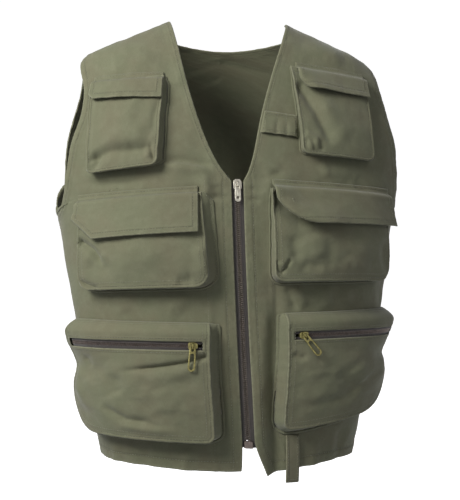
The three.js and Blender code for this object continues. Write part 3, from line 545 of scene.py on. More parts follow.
def clothMaterial(name, finish):
    material, tree, shader = startMaterial(name, finish["olive"], finish["roughness"])
    shader.inputs["Sheen Weight"].default_value = finish["sheen"]
    shader.inputs["Sheen Roughness"].default_value = 0.45
    shader.inputs["Specular IOR Level"].default_value = 0.25
    place = attribute(tree, "weave").outputs["Vector"]
    sewn = attribute(tree, "sewn").outputs["Fac"]
    wash = noise(tree, place, 0.016, 5, 0.6)
    patch = noise(tree, place, 0.085, 4, 0.6)
    grain = noise(tree, place, 0.9, 3, 0.65)
    slub = noise(tree, place, 0.5, 2, 0.5, stretch=(4.0, 0.35))
    twill = node(tree, "ShaderNodeTexWave", wave_type="BANDS", bands_direction="DIAGONAL")
    twill.inputs["Scale"].default_value = finish["twillPitch"]
    twill.inputs["Distortion"].default_value = 0.6
    tree.links.new(place, twill.inputs["Vector"])
    weave = twill.outputs["Fac"]
    colour = blend(tree, ramp(tree, wash, 0.36, 0.66), finish["olive"], finish["brown"])
    layers = (
        (ramp(tree, patch, 0.42, 0.72), "wornPatches", "worn"),
        (ramp(tree, grain, 0.35, 0.75), "wornGrain", "worn"),
        (ramp(tree, slub, 0.5, 0.75), "slubs", "deep"),
        (weave, "weaveShade", "deep"),
    )
    for value, amount, tint in layers:
        colour = blend(tree, maths(tree, "MULTIPLY", value, finish[amount]), colour, finish[tint])
    # the folded edge is rubbed pale, and the furrow along the stitching is darkened with painted shade
    rubbed = ramp(tree, maths(tree, "SUBTRACT", 0.3, maths(tree, "ABSOLUTE", sewn)), 0.0, 0.3)
    patchy = maths(tree, "MULTIPLY", rubbed, ramp(tree, noise(tree, place, 0.22, 3, 0.6), 0.3, 0.6))
    colour = blend(tree, maths(tree, "MULTIPLY", patchy, finish["rubbedEdge"]), colour, finish["worn"])
    away = maths(tree, "DIVIDE", maths(tree, "SUBTRACT", sewn, 1.0), 0.16)
    furrow = maths(tree, "EXPONENT", maths(tree, "MULTIPLY", maths(tree, "MULTIPLY", away, away), -1.0))
    # painted shade: the cloth turns towards the deep colour in the stitching's furrow
    colour = blend(tree, maths(tree, "MULTIPLY", furrow, finish["furrowShade"]), colour, finish["deep"])
    tree.links.new(colour, shader.inputs["Base Color"])
    near = ramp(tree, maths(tree, "SUBTRACT", 1.9, maths(tree, "ABSOLUTE", sewn)), 0.0, 0.9)
    pucker = maths(tree, "MULTIPLY", noise(tree, place, 0.16, 2, 0.5), near)
    height = maths(tree, "MULTIPLY", weave, clothBump["weave"])
    for value, part in ((grain, "grain"), (patch, "patch"), (pucker, "pucker")):
        height = maths(tree, "ADD", height, maths(tree, "MULTIPLY", value, clothBump[part]))
    height = maths(tree, "SUBTRACT", height, maths(tree, "MULTIPLY", furrow, clothBump["furrow"]))
    bump = node(tree, "ShaderNodeBump")
    bump.inputs["Strength"].default_value = 0.9
    bump.inputs["Distance"].default_value = 0.001
    tree.links.new(height, bump.inputs["Height"])
    tree.links.new(bump.outputs[0], shader.inputs["Normal"])
    return material


def threadMaterial(name, colour, dark):
    material, tree, shader = startMaterial(name, colour, 0.7)
    shader.inputs["Sheen Weight"].default_value = 0.2
    place = node(tree, "ShaderNodeTexCoord").outputs["Object"]
    twist = noise(tree, place, 900, 2, 0.5)
    tree.links.new(blend(tree, ramp(tree, twist, 0.35, 0.65), colour, dark), shader.inputs["Base Color"])
    return material


def tapeMaterial(name, colour, pale):
    material, tree, shader = startMaterial(name, colour, 0.82)
    shader.inputs["Sheen Weight"].default_value = 0.25
    place = attribute(tree, "weave").outputs["Vector"]
    rib = node(tree, "ShaderNodeTexWave", wave_type="BANDS", bands_direction="X")
    rib.inputs["Scale"].default_value = 0.32
    tree.links.new(place, rib.inputs["Vector"])
    pick = node(tree, "ShaderNodeTexWave", wave_type="BANDS", bands_direction="Y")
    pick.inputs["Scale"].default_value = 0.42
    tree.links.new(place, pick.inputs["Vector"])
    woven = maths(tree, "MULTIPLY", rib.outputs["Fac"], pick.outputs["Fac"])
    dust = noise(tree, place, 0.12, 4, 0.6)
    amount = maths(tree, "ADD", maths(tree, "MULTIPLY", woven, 0.35), maths(tree, "MULTIPLY", dust, 0.45))
    tree.links.new(blend(tree, amount, colour, pale), shader.inputs["Base Color"])
    bump = node(tree, "ShaderNodeBump")
    bump.inputs["Distance"].default_value = 0.0003
    tree.links.new(woven, bump.inputs["Height"])
    tree.links.new(bump.outputs[0], shader.inputs["Normal"])
    return material


def metalMaterial(name):
    look = metals[name]
    material, tree, shader = startMaterial(name, look["bright"], look["roughness"], 1.0)
    place = node(tree, "ShaderNodeTexCoord").outputs["Object"]
    stain = noise(tree, place, 260, 5, 0.65)
    scratch = noise(tree, place, 900, 3, 0.6, stretch=(0.3, 0.3))
    cover = maths(tree, "MULTIPLY", ramp(tree, stain, 0.38, 0.68), look["tarnish"])
    tree.links.new(blend(tree, cover, look["bright"], look["dull"]), shader.inputs["Base Color"])
    rough = maths(tree, "ADD", look["roughness"] - 0.08, maths(tree, "MULTIPLY", stain, 0.3))
    tree.links.new(rough, shader.inputs["Roughness"])
    bump = node(tree, "ShaderNodeBump")
    bump.inputs["Strength"].default_value = 0.5
    bump.inputs["Distance"].default_value = 0.0001
    tree.links.new(scratch, bump.inputs["Height"])
    tree.links.new(bump.outputs[0], shader.inputs["Normal"])
    return material


webbingCloth = {**twillCloth, "olive": (0.170, 0.160, 0.105), "twillPitch": 0.3}
threadLook = {"olive": (0.235, 0.232, 0.150), "dark": (0.11, 0.108, 0.07)}
tapeLook = {"dark": (0.030, 0.026, 0.024), "pale": (0.088, 0.075, 0.070)}
metals = {
    "zipTeeth": {"bright": (0.125, 0.104, 0.094), "dull": (0.045, 0.036, 0.032), "roughness": 0.42,
                 "tarnish": 0.5},
    "sliderNickel": {"bright": (0.50, 0.48, 0.41), "dull": (0.22, 0.19, 0.15), "roughness": 0.32,
                     "tarnish": 0.5},
    "pullBrass": {"bright": (0.21, 0.19, 0.075), "dull": (0.07, 0.062, 0.03), "roughness": 0.42,
                  "tarnish": 0.7},
}
oliveTwill = clothMaterial("oliveTwill", twillCloth)
oliveThread = threadMaterial("oliveThread", threadLook["olive"], threadLook["dark"])
strapWebbing = clothMaterial("strapWebbing", webbingCloth)
zipTape = tapeMaterial("zipTape", tapeLook["dark"], tapeLook["pale"])
zipTeeth = metalMaterial("zipTeeth")
sliderNickel = metalMaterial("sliderNickel")
pullBrass = metalMaterial("pullBrass")
print("materials are ready")

# The two fronts and the back

frontZip = {"gap": 8.0, "rise": 37.0, "lean": 13.0, "share": 0.52}
frontZip["bottom"] = vest["length"] - frontZip["rise"]
frontZip["run"] = frontZip["bottom"] - vest["neckDrop"]
shoulderRun = (vest["shoulderWidth"] - vest["neckWidth"]) / 2


def zipArc(drop):
    return frontZip["lean"] * np.clip((drop - vest["neckDrop"]) / frontZip["run"], 0, 1.1) ** 1.5


def hemDrop(angle):
    return vest["length"] - vest["hemSideRise"] * np.sin(angle) ** 2


def neckHalf(drop):
    t = np.clip(drop / vest["neckDrop"], 0, 1)
    return mix(vest["neckWidth"] / 2, frontZip["gap"], 0.86 * t + 0.14 * t**12)


def neckEdge(side, drop):
    # the open front hangs a little towards the wearer's right
    t = np.clip(drop / vest["neckDrop"], 0, 1)
    return neckHalf(drop) - side * vest["neckLean"] * np.sin(math.pi * t**1.2)


def solveAngle(value, high):
    # halves the way between straight ahead and high until value turns over 0
    low = np.zeros(np.shape(high))
    for step in range(36):
        middle = (low + high) / 2
        over = value(middle) > 0
        high = np.where(over, middle, high)
        low = np.where(over, low, middle)
    return (low + high) / 2


def angleAtX(x, drop):
    high = np.full(np.shape(drop), quarterTurn)
    return solveAngle(lambda a: bodyRadius(a, drop) * np.sin(a) - x, high)


def angleAtFront(y, drop):
    high = np.full(np.shape(drop), quarterTurn)
    return solveAngle(lambda a: y - bodyRadius(a, drop) * np.cos(a), high)


def angleAtBack(y, drop):
    high = np.full(np.shape(drop), quarterTurn)
    return math.pi - solveAngle(lambda a: y - bodyRadius(math.pi - a, drop) * np.cos(a), high)


lowerCorners = {right: {"spread": 2.5, "dip": 0.0}, left: {"spread": 12.0, "dip": 7.0}}


def frontEdge(side, v):
    corner = lowerCorners[side]
    share = frontZip["share"]
    drop = mix(vest["length"] + corner["dip"], vest["neckDrop"], np.clip(v / share, 0, 1))
    below = np.clip((drop - frontZip["bottom"]) / frontZip["rise"], 0, 1.2)
    arc = zipArc(drop) * side + frontZip["gap"] + corner["spread"] * below**1.3
    zipAngle = angleAt(arc, drop)
    t = np.clip((v - share) / (1 - share), 0, 1)
    neckline = vest["neckDrop"] * (1 - t) ** 1.4
    neckAngle = np.where(t >= 1, quarterTurn, angleAtX(neckEdge(side, neckline), neckline))
    lower = v <= share
    return np.where(lower, zipAngle, neckAngle), np.where(lower, drop, neckline)


sideShare = 0.56


def sideEdge(v, cut, angleAtDepth, ease=1.0):
    seamDrop = mix(hemDrop(quarterTurn), vest["underarmDrop"], np.clip(v / sideShare, 0, 1))
    turn = math.pi * np.clip((v - sideShare) / (1 - sideShare), 0, 1)
    middle = (vest["underarmDrop"] + vest["shoulderDrop"]) / 2
    half = (vest["underarmDrop"] - vest["shoulderDrop"]) / 2
    drop = middle + half * np.cos(turn)
    depth = cut * np.abs(np.sin(turn)) ** np.where(turn < quarterTurn, 0.5, ease)
    angle = np.where(depth < 0.05, quarterTurn, angleAtDepth(depth, drop))
    lower = v <= sideShare
    return np.where(lower, quarterTurn, angle), np.where(lower, seamDrop, drop)


def coonsPatch(bottom, top, start, end, u, v):
    # each edge is (angle, drop) on u or v; drops are stretched on the nearly level shoulders
    def stretched(edge):
        return edge[0], edge[1] + shoulderRun * np.minimum(edge[1] / vest["shoulderDrop"], 1)

    b = stretched(bottom)
    t = stretched(top)
    s = stretched(start)
    e = stretched(end)
    uRow = u[None, :]
    vColumn = v[:, None]
    found = []
    for k in range(2):
        whole = (1 - vColumn) * b[k][None, :] + vColumn * t[k][None, :]
        whole = whole + (1 - uRow) * s[k][:, None] + uRow * e[k][:, None]
        whole = whole - (1 - uRow) * (1 - vColumn) * b[k][0] - uRow * (1 - vColumn) * b[k][-1]
        found.append(whole - (1 - uRow) * vColumn * t[k][0] - uRow * vColumn * t[k][-1])
    edge = vest["shoulderDrop"] + shoulderRun
    drop = np.where(found[1] < edge, found[1] * vest["shoulderDrop"] / edge, found[1] - shoulderRun)
    return found[0], np.maximum(drop, 0)


def spots(length, starts, ends, step):
    # places along a length: fixed ones at both ends and even ones between
    low = starts[-1] if starts else 0.0
    high = length - ends[-1] if ends else length
    count = max(int(round((high - low) / step)), 2)
    between = np.linspace(low, high, count + 1)
    return np.concatenate([starts[:-1], between, [length - e for e in ends[:-1]][::-1]])


def relaid(angle, drop, starts, ends, step):
    # moves the columns of a patch to fixed distances from both ends of each row
    points = bodyPoint(angle, drop)
    steps = np.linalg.norm(np.diff(points, axis=1), axis=2)
    lengths = np.concatenate([np.zeros((len(points), 1)), np.cumsum(steps, axis=1)], axis=1)
    typical = np.median(lengths[:, -1])
    shape = spots(typical, starts, ends, step)
    fixedLow = starts[-1] if starts else 0.0
    fixedHigh = ends[-1] if ends else 0.0
    newAngle = []
    newDrop = []
    for k in range(len(points)):
        whole = lengths[k, -1]
        inner = np.clip((shape - fixedLow) / (typical - fixedLow - fixedHigh), 0, 1)
        s = np.where(shape < fixedLow, shape, fixedLow + inner * (whole - fixedLow - fixedHigh))
        s = np.where(shape > typical - fixedHigh, whole - (typical - shape), s)
        newAngle.append(np.interp(s, lengths[k], angle[k]))
        newDrop.append(np.interp(s, lengths[k], drop[k]))
    return np.array(newAngle), np.array(newDrop)


edgeLines = [0.0, 1.0, 2.5, 4.5, 7.0, 9.5, 12.0]
clothStep = {"front": 2.3, "back": 3.2}


def edgeDistance(points, line):
    # distance from each point to the nearest point of a line
    best = np.full(len(points), 1e9)
    for k in range(0, len(line), 40):
        part = line[k : k + 40]
        away = np.linalg.norm(points[:, None, :] - part[None, :, :], axis=2).min(axis=1)
        best = np.minimum(best, away)
    return best


def alongBody(angle, drop, inwards, lift):
    # a line on the cloth beside an edge line, at a distance inwards from it
    base = bodyPoint(angle, drop)
    tangent = unit(np.gradient(base, axis=0))
    normal = bodyNormal(angle, drop)
    moved = base + np.cross(normal, tangent) * np.asarray(inwards)[..., None]
    newAngle = np.arctan2(moved[:, 0], -moved[:, 1])
    newDrop = np.maximum(-moved[:, 2], 0)
    return offCloth(newAngle, newDrop, lift), bodyNormal(newAngle, newDrop)


sewing = {"hem": 11.5, "armhole": 7.0, "neck": 4.0, "zip": 10.5, "placket": 31.0, "side": 3.2}
hemForm = {"width": 12.5, "blend": 2.5, "raised": 0.35, "small": 0.42, "broad": 0.5}
placketForm = {"top": 216.0, "stitchTop": 222.0, "width": 2.2, "height": 1.0}
stitchLift = vest["cloth"] / 2 + 0.3


def hemLift(arc, drop, toEdge, seed):
    # folded edges are thicker, and ride up and down between the stitches
    hemmed = smooth((hemForm["width"] - toEdge) / hemForm["blend"])
    small = ripple(arc / 5.5, drop / 5.5, seed) * hemForm["small"]
    wave = small + ripple(arc / 13, drop / 13, seed + 1) * hemForm["broad"]
    return hemmed, hemForm["raised"] * hemmed + wave * np.clip(1.3 - toEdge / 14, 0, 1)


def frontPanel(side):
    cut = vest["armholeFront"][side]
    u = np.linspace(0, 1, 121)
    v = np.linspace(0, 1, 301)
    startEdge = frontEdge(side, v)
    endEdge = sideEdge(v, cut, angleAtFront, vest["armholeEase"])
    bottomAngle = mix(startEdge[0][0], quarterTurn, u)
    bottomEdge = (bottomAngle, hemDrop(bottomAngle) + lowerCorners[side]["dip"] * (1 - u) ** 8)
    topEdge = (np.full(u.shape, quarterTurn), mix(0.0, vest["shoulderDrop"], u))
    angle, drop = coonsPatch(bottomEdge, topEdge, startEdge, endEdge, u, v)
    angle = np.minimum(angle, quarterTurn - 0.3 / bodyRadius(quarterTurn, drop))
    angle, drop = relaid(angle, drop, edgeLines, edgeLines, clothStep["front"])
    angle, drop = [m.T for m in relaid(angle.T, drop.T, edgeLines, edgeLines[:4], clothStep["front"])]
    base = bodyPoint(side * angle, drop)
    # distances from the sewn edges, in shares of their stitching's distance
    fine = np.linspace(0, 1, 700)
    frontLine = frontEdge(side, fine)
    sideLine = sideEdge(fine, cut, angleAtFront, vest["armholeEase"])
    flat = base.reshape(-1, 3)
    zipPart = fine <= frontZip["share"]
    armPart = fine >= sideShare
    toZip = edgeDistance(flat, bodyPoint(side * frontLine[0][zipPart], frontLine[1][zipPart]))
    toNeck = edgeDistance(flat, bodyPoint(side * frontLine[0][~zipPart], frontLine[1][~zipPart]))
    toArm = edgeDistance(flat, bodyPoint(side * sideLine[0][armPart], sideLine[1][armPart]))
    toHem = edgeDistance(flat, base[0])
    sewn = np.minimum(toZip / sewing["zip"], toNeck / sewing["neck"])
    sewn = np.minimum(sewn, np.minimum(toArm / sewing["armhole"], toHem / sewing["hem"]))
    arc = arcOf(side * angle, drop)
    toEdge = np.minimum(np.minimum(toZip, toNeck), np.minimum(toArm, toHem)).reshape(arc.shape)
    hemmed, lift = hemLift(arc, drop, toEdge, 11)
    # the placket's inner edge shows as a low ridge
    toPlacket = np.abs(toZip.reshape(arc.shape) - sewing["placket"])
    placket = np.exp(-((toPlacket / placketForm["width"]) ** 2))
    lift = lift + placket * placketForm["height"] * smooth((drop - placketForm["top"]) / 14)
    points = offCloth(side * angle, drop, 0.0)
    points = points + bodyNormal(side * angle, drop) * lift[..., None]
    name = "frontRight" if side == right else "frontLeft"
    cad = "front_right" if side == right else "front_left"
    quads = gridQuads(*arc.shape)
    outward = bodyNormal(side * angle, drop)
    weave = np.stack([arc, drop], axis=-1)
    extra = vest["hemExtra"] * hemmed
    piece = addCloth(
        name, points, quads, outward, weave, sewn.reshape(arc.shape), oliveTwill, [cad], extra=extra
    )[0]
    # stitching
    runs = []

    def beside(line, part, inwards):
        runs.append(alongBody(side * line[0][part], line[1][part], side * inwards, stitchLift))

    beside(frontLine, zipPart, -sewing["zip"])
    beside(frontLine, ~zipPart & (fine < 0.995), -sewing["neck"])
    beside(frontLine, zipPart & (frontLine[1] > placketForm["stitchTop"]), -sewing["placket"] - 2.6)
    beside(sideLine, armPart & (fine > sideShare + 0.004) & (fine < 0.996), sewing["armhole"])
    beside(sideLine, fine < sideShare - 0.01, sewing["side"])
    hemU = np.linspace(0.02, 0.985, 300)
    hemAngle = mix(startEdge[0][0], quarterTurn, hemU)
    hemLine = hemDrop(hemAngle) + lowerCorners[side]["dip"] * (1 - hemU) ** 8 - sewing["hem"]
    runs.append((offCloth(side * hemAngle, hemLine, stitchLift), bodyNormal(side * hemAngle, hemLine)))
    addStitches(name + "Stitches", runs)


def backTop(u):
    seamShare = 0.3
    t = np.clip((u - seamShare) / (1 - 2 * seamShare), 0, 1)
    angle = mix(quarterTurn, 3 * quarterTurn, t)
    neck = vest["backNeckDrop"] * np.abs(np.sin(math.pi * t)) ** 0.6
    leftSeam = mix(vest["shoulderDrop"], 0.0, np.clip(u / seamShare, 0, 1))
    rightSeam = mix(0.0, vest["shoulderDrop"], np.clip((u - 1 + seamShare) / seamShare, 0, 1))
    drop = np.where(u <= seamShare, leftSeam, np.where(u >= 1 - seamShare, rightSeam, neck))
    return angle, drop


def backPanel():
    u = np.linspace(0, 1, 241)
    v = np.linspace(0, 1, 241)
    edge = sideEdge(v, vest["armholeBack"], angleAtBack)
    bottomAngle = mix(quarterTurn, 3 * quarterTurn, u)
    angle, drop = coonsPatch(
        (bottomAngle, hemDrop(bottomAngle)), backTop(u), edge, (4 * quarterTurn - edge[0], edge[1]), u, v
    )
    kept = 0.3 / bodyRadius(quarterTurn, drop)
    angle = np.clip(angle, quarterTurn + kept, 3 * quarterTurn - kept)
    angle, drop = relaid(angle, drop, edgeLines, edgeLines, clothStep["back"])
    angle, drop = [m.T for m in relaid(angle.T, drop.T, edgeLines, edgeLines, clothStep["back"])]
    base = bodyPoint(angle, drop)
    fine = np.linspace(0, 1, 700)
    sideLine = sideEdge(fine, vest["armholeBack"], angleAtBack)
    topLine = backTop(fine)
    armPart = fine >= sideShare
    neckPart = (fine > 0.3) & (fine < 0.7)
    flat = base.reshape(-1, 3)
    toLeft = edgeDistance(flat, bodyPoint(sideLine[0][armPart], sideLine[1][armPart]))
    toRight = edgeDistance(flat, bodyPoint(-sideLine[0][armPart], sideLine[1][armPart]))
    toNeck = edgeDistance(flat, bodyPoint(topLine[0][neckPart], topLine[1][neckPart]))
    toHem = edgeDistance(flat, base[0])
    toArm = np.minimum(toLeft, toRight)
    sewn = np.minimum(toArm / sewing["armhole"], np.minimum(toNeck / sewing["neck"], toHem / sewing["hem"]))
    toEdge = np.minimum(toArm, np.minimum(toNeck, toHem)).reshape(angle.shape)
    turned = (angle + math.pi) % (2 * math.pi) - math.pi
    arc = arcOf(angle, drop)
    whole = np.interp(drop, tableDrops, halfGirth)
    across = np.where(arc < 0, arc + 2 * whole, arc)
    hemmed, lift = hemLift(across, drop, toEdge, 21)
    points = offCloth(turned, drop, 0.0) + bodyNormal(turned, drop) * lift[..., None]
    weave = np.stack([across, drop], axis=-1)
    piece = addCloth(
        "backPanel", points, gridQuads(*arc.shape), bodyNormal(turned, drop), weave,
        sewn.reshape(arc.shape), oliveTwill, ["back"], extra=vest["hemExtra"] * hemmed,
    )[0]
    runs = []
    sewnParts = (
        (armPart & (fine > sideShare + 0.004) & (fine < 0.996), sewing["armhole"]),
        (fine < sideShare - 0.01, sewing["side"]),
    )
    for way in (1, -1):
        for part, inwards in sewnParts:
            runs.append(alongBody(way * sideLine[0][part], sideLine[1][part], -way * inwards, stitchLift))
    runs.append(alongBody(topLine[0][neckPart], topLine[1][neckPart], -sewing["neck"], stitchLift))
    hemAngle = np.linspace(quarterTurn + 0.02, 3 * quarterTurn - 0.02, 500)
    hemLine = hemDrop(hemAngle) - sewing["hem"]
    turnedHem = (hemAngle + math.pi) % (2 * math.pi) - math.pi
    runs.append((offCloth(turnedHem, hemLine, stitchLift), bodyNormal(turnedHem, hemLine)))
    addStitches("backStitches", runs)


frontPanel(right)
frontPanel(left)
backPanel()
print("fronts and back are cut")

# Pockets. Across runs outwards from the face's inner edge and below runs down from the top seam.

pocketSizes = {
    "chest": {"width": 96.0, "height": 106.0, "footIn": 5.0, "footOut": 3.0, "footDown": 14.0,
              "lift": 6.0, "belly": 13.0, "cornerIn": 9.0, "cornerOut": 9.0, "mouth": 10.0},
    "waist": {"width": 160.0, "height": 116.0, "footIn": 12.0, "footOut": 4.0, "footDown": 3.0,
              "lift": 6.0, "belly": 19.0, "cornerIn": 12.0, "cornerOut": 18.0, "mouth": 10.0},
    "cargo": {"width": 186.0, "height": 147.0, "footIn": 11.0, "footOut": 4.0, "footDown": 3.0,
              "lift": 15.0, "belly": 22.0, "cornerIn": 9.0, "cornerOut": 48.0, "mouth": 0.0},
}
cargoZip = {"band": 21.0, "gap": 5.6, "inset": 9.0, "sliderShare": 0.06, "still": 36.0, "lean": 1.6}
bagSew = {"edge": 3.0, "second": 8.0, "slot": 2.6, "top": 2.0}
# corners are moved (outwards, down) at the top inner, top outer, bottom inner and bottom outer one
pocketPlaces = {
    "chestRight": {"side": right, "inner": 86.0, "top": 0.143, "fall": 7.0, "kind": "chest",
                   "corners": ((4, -4), (0, 0), (12, 19), (4, 21)), "own": {"footDown": -6.0}},
    "chestLeft": {"side": left, "inner": 81.0, "top": 0.119, "fall": 7.0, "kind": "chest",
                  "corners": ((-7, -6), (0, 0), (0, 18), (2, 15)),
                  "own": {"footDown": -6.0, "footIn": -3.0}},
    "waistRight": {"side": right, "inner": 42.0, "top": 0.396, "fall": 8.0, "kind": "waist",
                   "corners": ((4, 0), (0, 0), (-4, 10), (-5, 5.5)),
                   "own": {"footDown": 1.0, "cornerIn": 16.0}},
    "waistLeft": {"side": left, "inner": 47.0, "top": 0.387, "fall": 8.0, "kind": "waist",
                  "corners": ((-5, 0), (0, 0), (-5, 9), (-2, -2)), "own": {"footIn": 0.0, "footDown": 1.0}},
    "cargoRight": {"side": right, "inner": 36.0, "top": 0.688, "fall": -4.0, "kind": "cargo",
                   "corners": ((0, 0), (0, 0), (-6, -5), (0, -13))},
    "cargoLeft": {"side": left, "inner": 58.0, "top": 0.668, "fall": -5.0, "kind": "cargo",
                  "corners": ((0, 0), (0, 0), (-6, -8), (0, -40)),
                  "own": {"cornerOut": 84.0, "footOut": 15.0, "footIn": 6.0, "footDown": 8.0}},
}


def sizeOf(name):
    place = pocketPlaces[name]
    return {**pocketSizes[place["kind"]], **place.get("own", {})}


def seedOf(name):
    return sum(ord(letter) for letter in name)


def pocketOutward(place, width):
    # the way a pocket's face looks, over the middle of its width
    return bodyNormal(angleAt(place["side"] * (place["inner"] + width / 2), 300.0), np.array(300.0))


seatLift = vest["cloth"] + vest["seam"]


def pocketPoint(size, place, across, below, lift, relief=1.0, corners=None, end=None):
    across, below = np.broadcast_arrays(np.asarray(across, float), np.asarray(below, float))
    topIn, topOut, bottomIn, bottomOut = np.array(corners or place["corners"], float)
    # a zipped pocket keeps its place down to the zip
    zipped = size["mouth"] == 0
    start = cargoZip["still"] if zipped else 0.0
    u = np.clip(across / size["width"], 0, 1)[..., None]
    v = smooth((below - start) / ((end or size["height"]) - start))[..., None]
    lower = mix(bottomIn, bottomOut, u ** (cargoZip["lean"] if zipped else 1))
    moved = mix(mix(topIn, topOut, u), lower, v)
    across = across + moved[..., 0]
    below = below + moved[..., 1]
    drop = place["top"] * vest["length"] + place["fall"] * across / size["width"] + below
    return onVest(place["side"] * (place["inner"] + across), drop, seatLift + lift, relief)


def cornerRise(distance, radius):
    rest = radius - np.clip(distance, 0, radius)
    return radius - np.sqrt(np.maximum(radius * radius - rest * rest, 0))


def bottomBelow(size, across):
    rise = np.maximum(
        cornerRise(across, size["cornerIn"]), cornerRise(size["width"] - across, size["cornerOut"])
    )
    return size["height"] - rise


def faceLift(size, across, below):
    out = np.clip(across / size["width"], 0, 1)
    down = np.clip(below / size["height"], 0, 1)
    belly = mix(size["lift"], size["belly"], smooth(down / 0.8))
    lift = belly * mix(1, 0.8, out) + 3 * np.sin(math.pi * out) * np.sin(math.pi * down)
    if size["mouth"] == 0:
        # the zip stands out at its far end and the cloth sinks in under it
        ridge = 4.5 * smooth((across - 80) / 90) * np.exp(-(((below - 24) / 13) ** 2))
        lift = lift + ridge - 5.5 * smooth((across - 90) / 70) * np.exp(-(((below - 60) / 17) ** 2))
    return lift


def toFaceEdge(size, across, below):
    # distance inwards from the sides, the bottom and the two round corners
    inner = np.minimum(across, size["width"] - across)
    best = np.minimum(inner, size["height"] - below)
    for radius, away in ((size["cornerIn"], across), (size["cornerOut"], size["width"] - across)):
        centreBelow = size["height"] - radius
        inCorner = (away < radius) & (below > centreBelow)
        best = np.where(inCorner, radius - np.hypot(radius - away, below - centreBelow), best)
    return best


# Creases drawn on each pocket's face, by across and below
pocketCreases = {
    "chestRight": [
        {"path": [(2, 36), (8, 56), (7, 76)], "width": 4, "height": -0.9},
        {"path": [(8, 88), (32, 86), (62, 84), (90, 91)], "width": 6, "height": -3.2, "lead": 0.1,
         "tail": 0.1},
        {"path": [(10, 73), (40, 73), (80, 76)], "width": 9, "height": 1.3},
        {"path": [(11, 79), (7, 92), (2, 103)], "width": 2.6, "height": -2.6},
        {"path": [(17, 84), (12, 98)], "width": 3, "height": 1.4},
        {"path": [(95, 92), (84, 90), (74, 94)], "width": 5, "height": -2.2},
        {"path": [(86, 94), (82, 104)], "width": 7, "height": -1.6},
    ],
    "chestLeft": [
        {"path": [(3, 30), (22, 58), (34, 84), (40, 96)], "width": 7, "height": -3.4, "lead": 0.1},
        {"path": [(24, 44), (46, 70), (58, 90)], "width": 11, "height": 1.8},
        {"path": [(1, 90), (8, 84), (16, 88), (21, 100)], "width": 3.2, "height": 1.6},
        {"path": [(6, 96), (12, 95)], "width": 5, "height": 1.4},
        {"path": [(21, 88), (24, 102)], "width": 3, "height": -1.4},
    ],
    "waistRight": [
        {"path": [(160, 56), (138, 69), (122, 90)], "width": 4.2, "height": -4.2, "lead": 0.1},
        {"path": [(150, 84), (126, 92), (108, 88)], "width": 8, "height": -1.6},
        {"path": [(160, 103), (146, 110), (128, 116)], "width": 3.4, "height": -2.4},
        {"path": [(38, 110), (26, 108), (14, 106)], "width": 7, "height": -1.4},
        {"path": [(10, 66), (4, 90), (14, 108)], "width": 9, "height": 1.8},
        {"path": [(40, 70), (90, 82), (120, 104)], "width": 15, "height": 1.5},
    ],
    "waistLeft": [
        {"path": [(18, 91), (6, 108)], "width": 2.2, "height": -2.2, "lead": 0.05, "tail": 0.05},
        {"path": [(1, 92), (4, 106)], "width": 2.0, "height": -1.6, "lead": 0.05, "tail": 0.05},
        {"path": [(9, 95), (7, 99)], "width": 4.5, "height": 1.3, "lead": 0.02, "tail": 0.02},
        {"path": [(22, 60), (26, 84), (20, 98)], "width": 9, "height": -1.8},
        {"path": [(2, 14), (22, 34), (48, 50)], "width": 12, "height": -4.8, "lead": 0.02},
        {"path": [(26, 106), (40, 96), (60, 102)], "width": 6, "height": -1.8},
        {"path": [(44, 60), (54, 92)], "width": 12, "height": 1.6},
        {"path": [(70, 64), (62, 106)], "width": 8, "height": -1.0},
        {"path": [(112, 60), (108, 108)], "width": 13, "height": 1.3},
        {"path": [(144, 62), (150, 108)], "width": 8, "height": -1.6},
    ],
    "cargoRight": [
        {"path": [(1, 38), (26, 47), (60, 53), (106, 60)], "width": 3.2, "height": -3.4, "lead": 0.04,
         "tail": 0.4},
        {"path": [(10, 52), (44, 62), (80, 66)], "width": 8, "height": 1.5},
        {"path": [(106, 62), (112, 80), (104, 94)], "width": 9, "height": -1.6},
        {"path": [(60, 78), (52, 96), (34, 104)], "width": 13, "height": 1.2},
        {"path": [(130, 106), (98, 124), (62, 126)], "width": 5, "height": -2.2},
        {"path": [(108, 131), (72, 134), (38, 133)], "width": 5, "height": 1.5},
        {"path": [(170, 44), (168, 80), (150, 120)], "width": 8, "height": 1.6},
        {"path": [(156, 42), (146, 60)], "width": 6, "height": -1.2},
    ],
    "cargoLeft": [
        {"path": [(3, 48), (14, 54), (24, 52)], "width": 4, "height": -1.8},
        {"path": [(8, 44), (30, 66), (44, 84)], "width": 10, "height": 1.2},
        {"path": [(60, 74), (82, 100), (90, 124)], "width": 9, "height": -1.8},
        {"path": [(84, 70), (104, 98)], "width": 14, "height": 1.6},
        {"path": [(20, 122), (46, 116), (90, 118)], "width": 8, "height": -1.2},
        {"path": [(150, 60), (142, 90), (120, 114)], "width": 10, "height": 1.4},
    ],
}
bagWear = {"broad": 2.2, "soft": 1.1, "crumple": 0.9, "fine": 0.2, "drawn": 1.7}


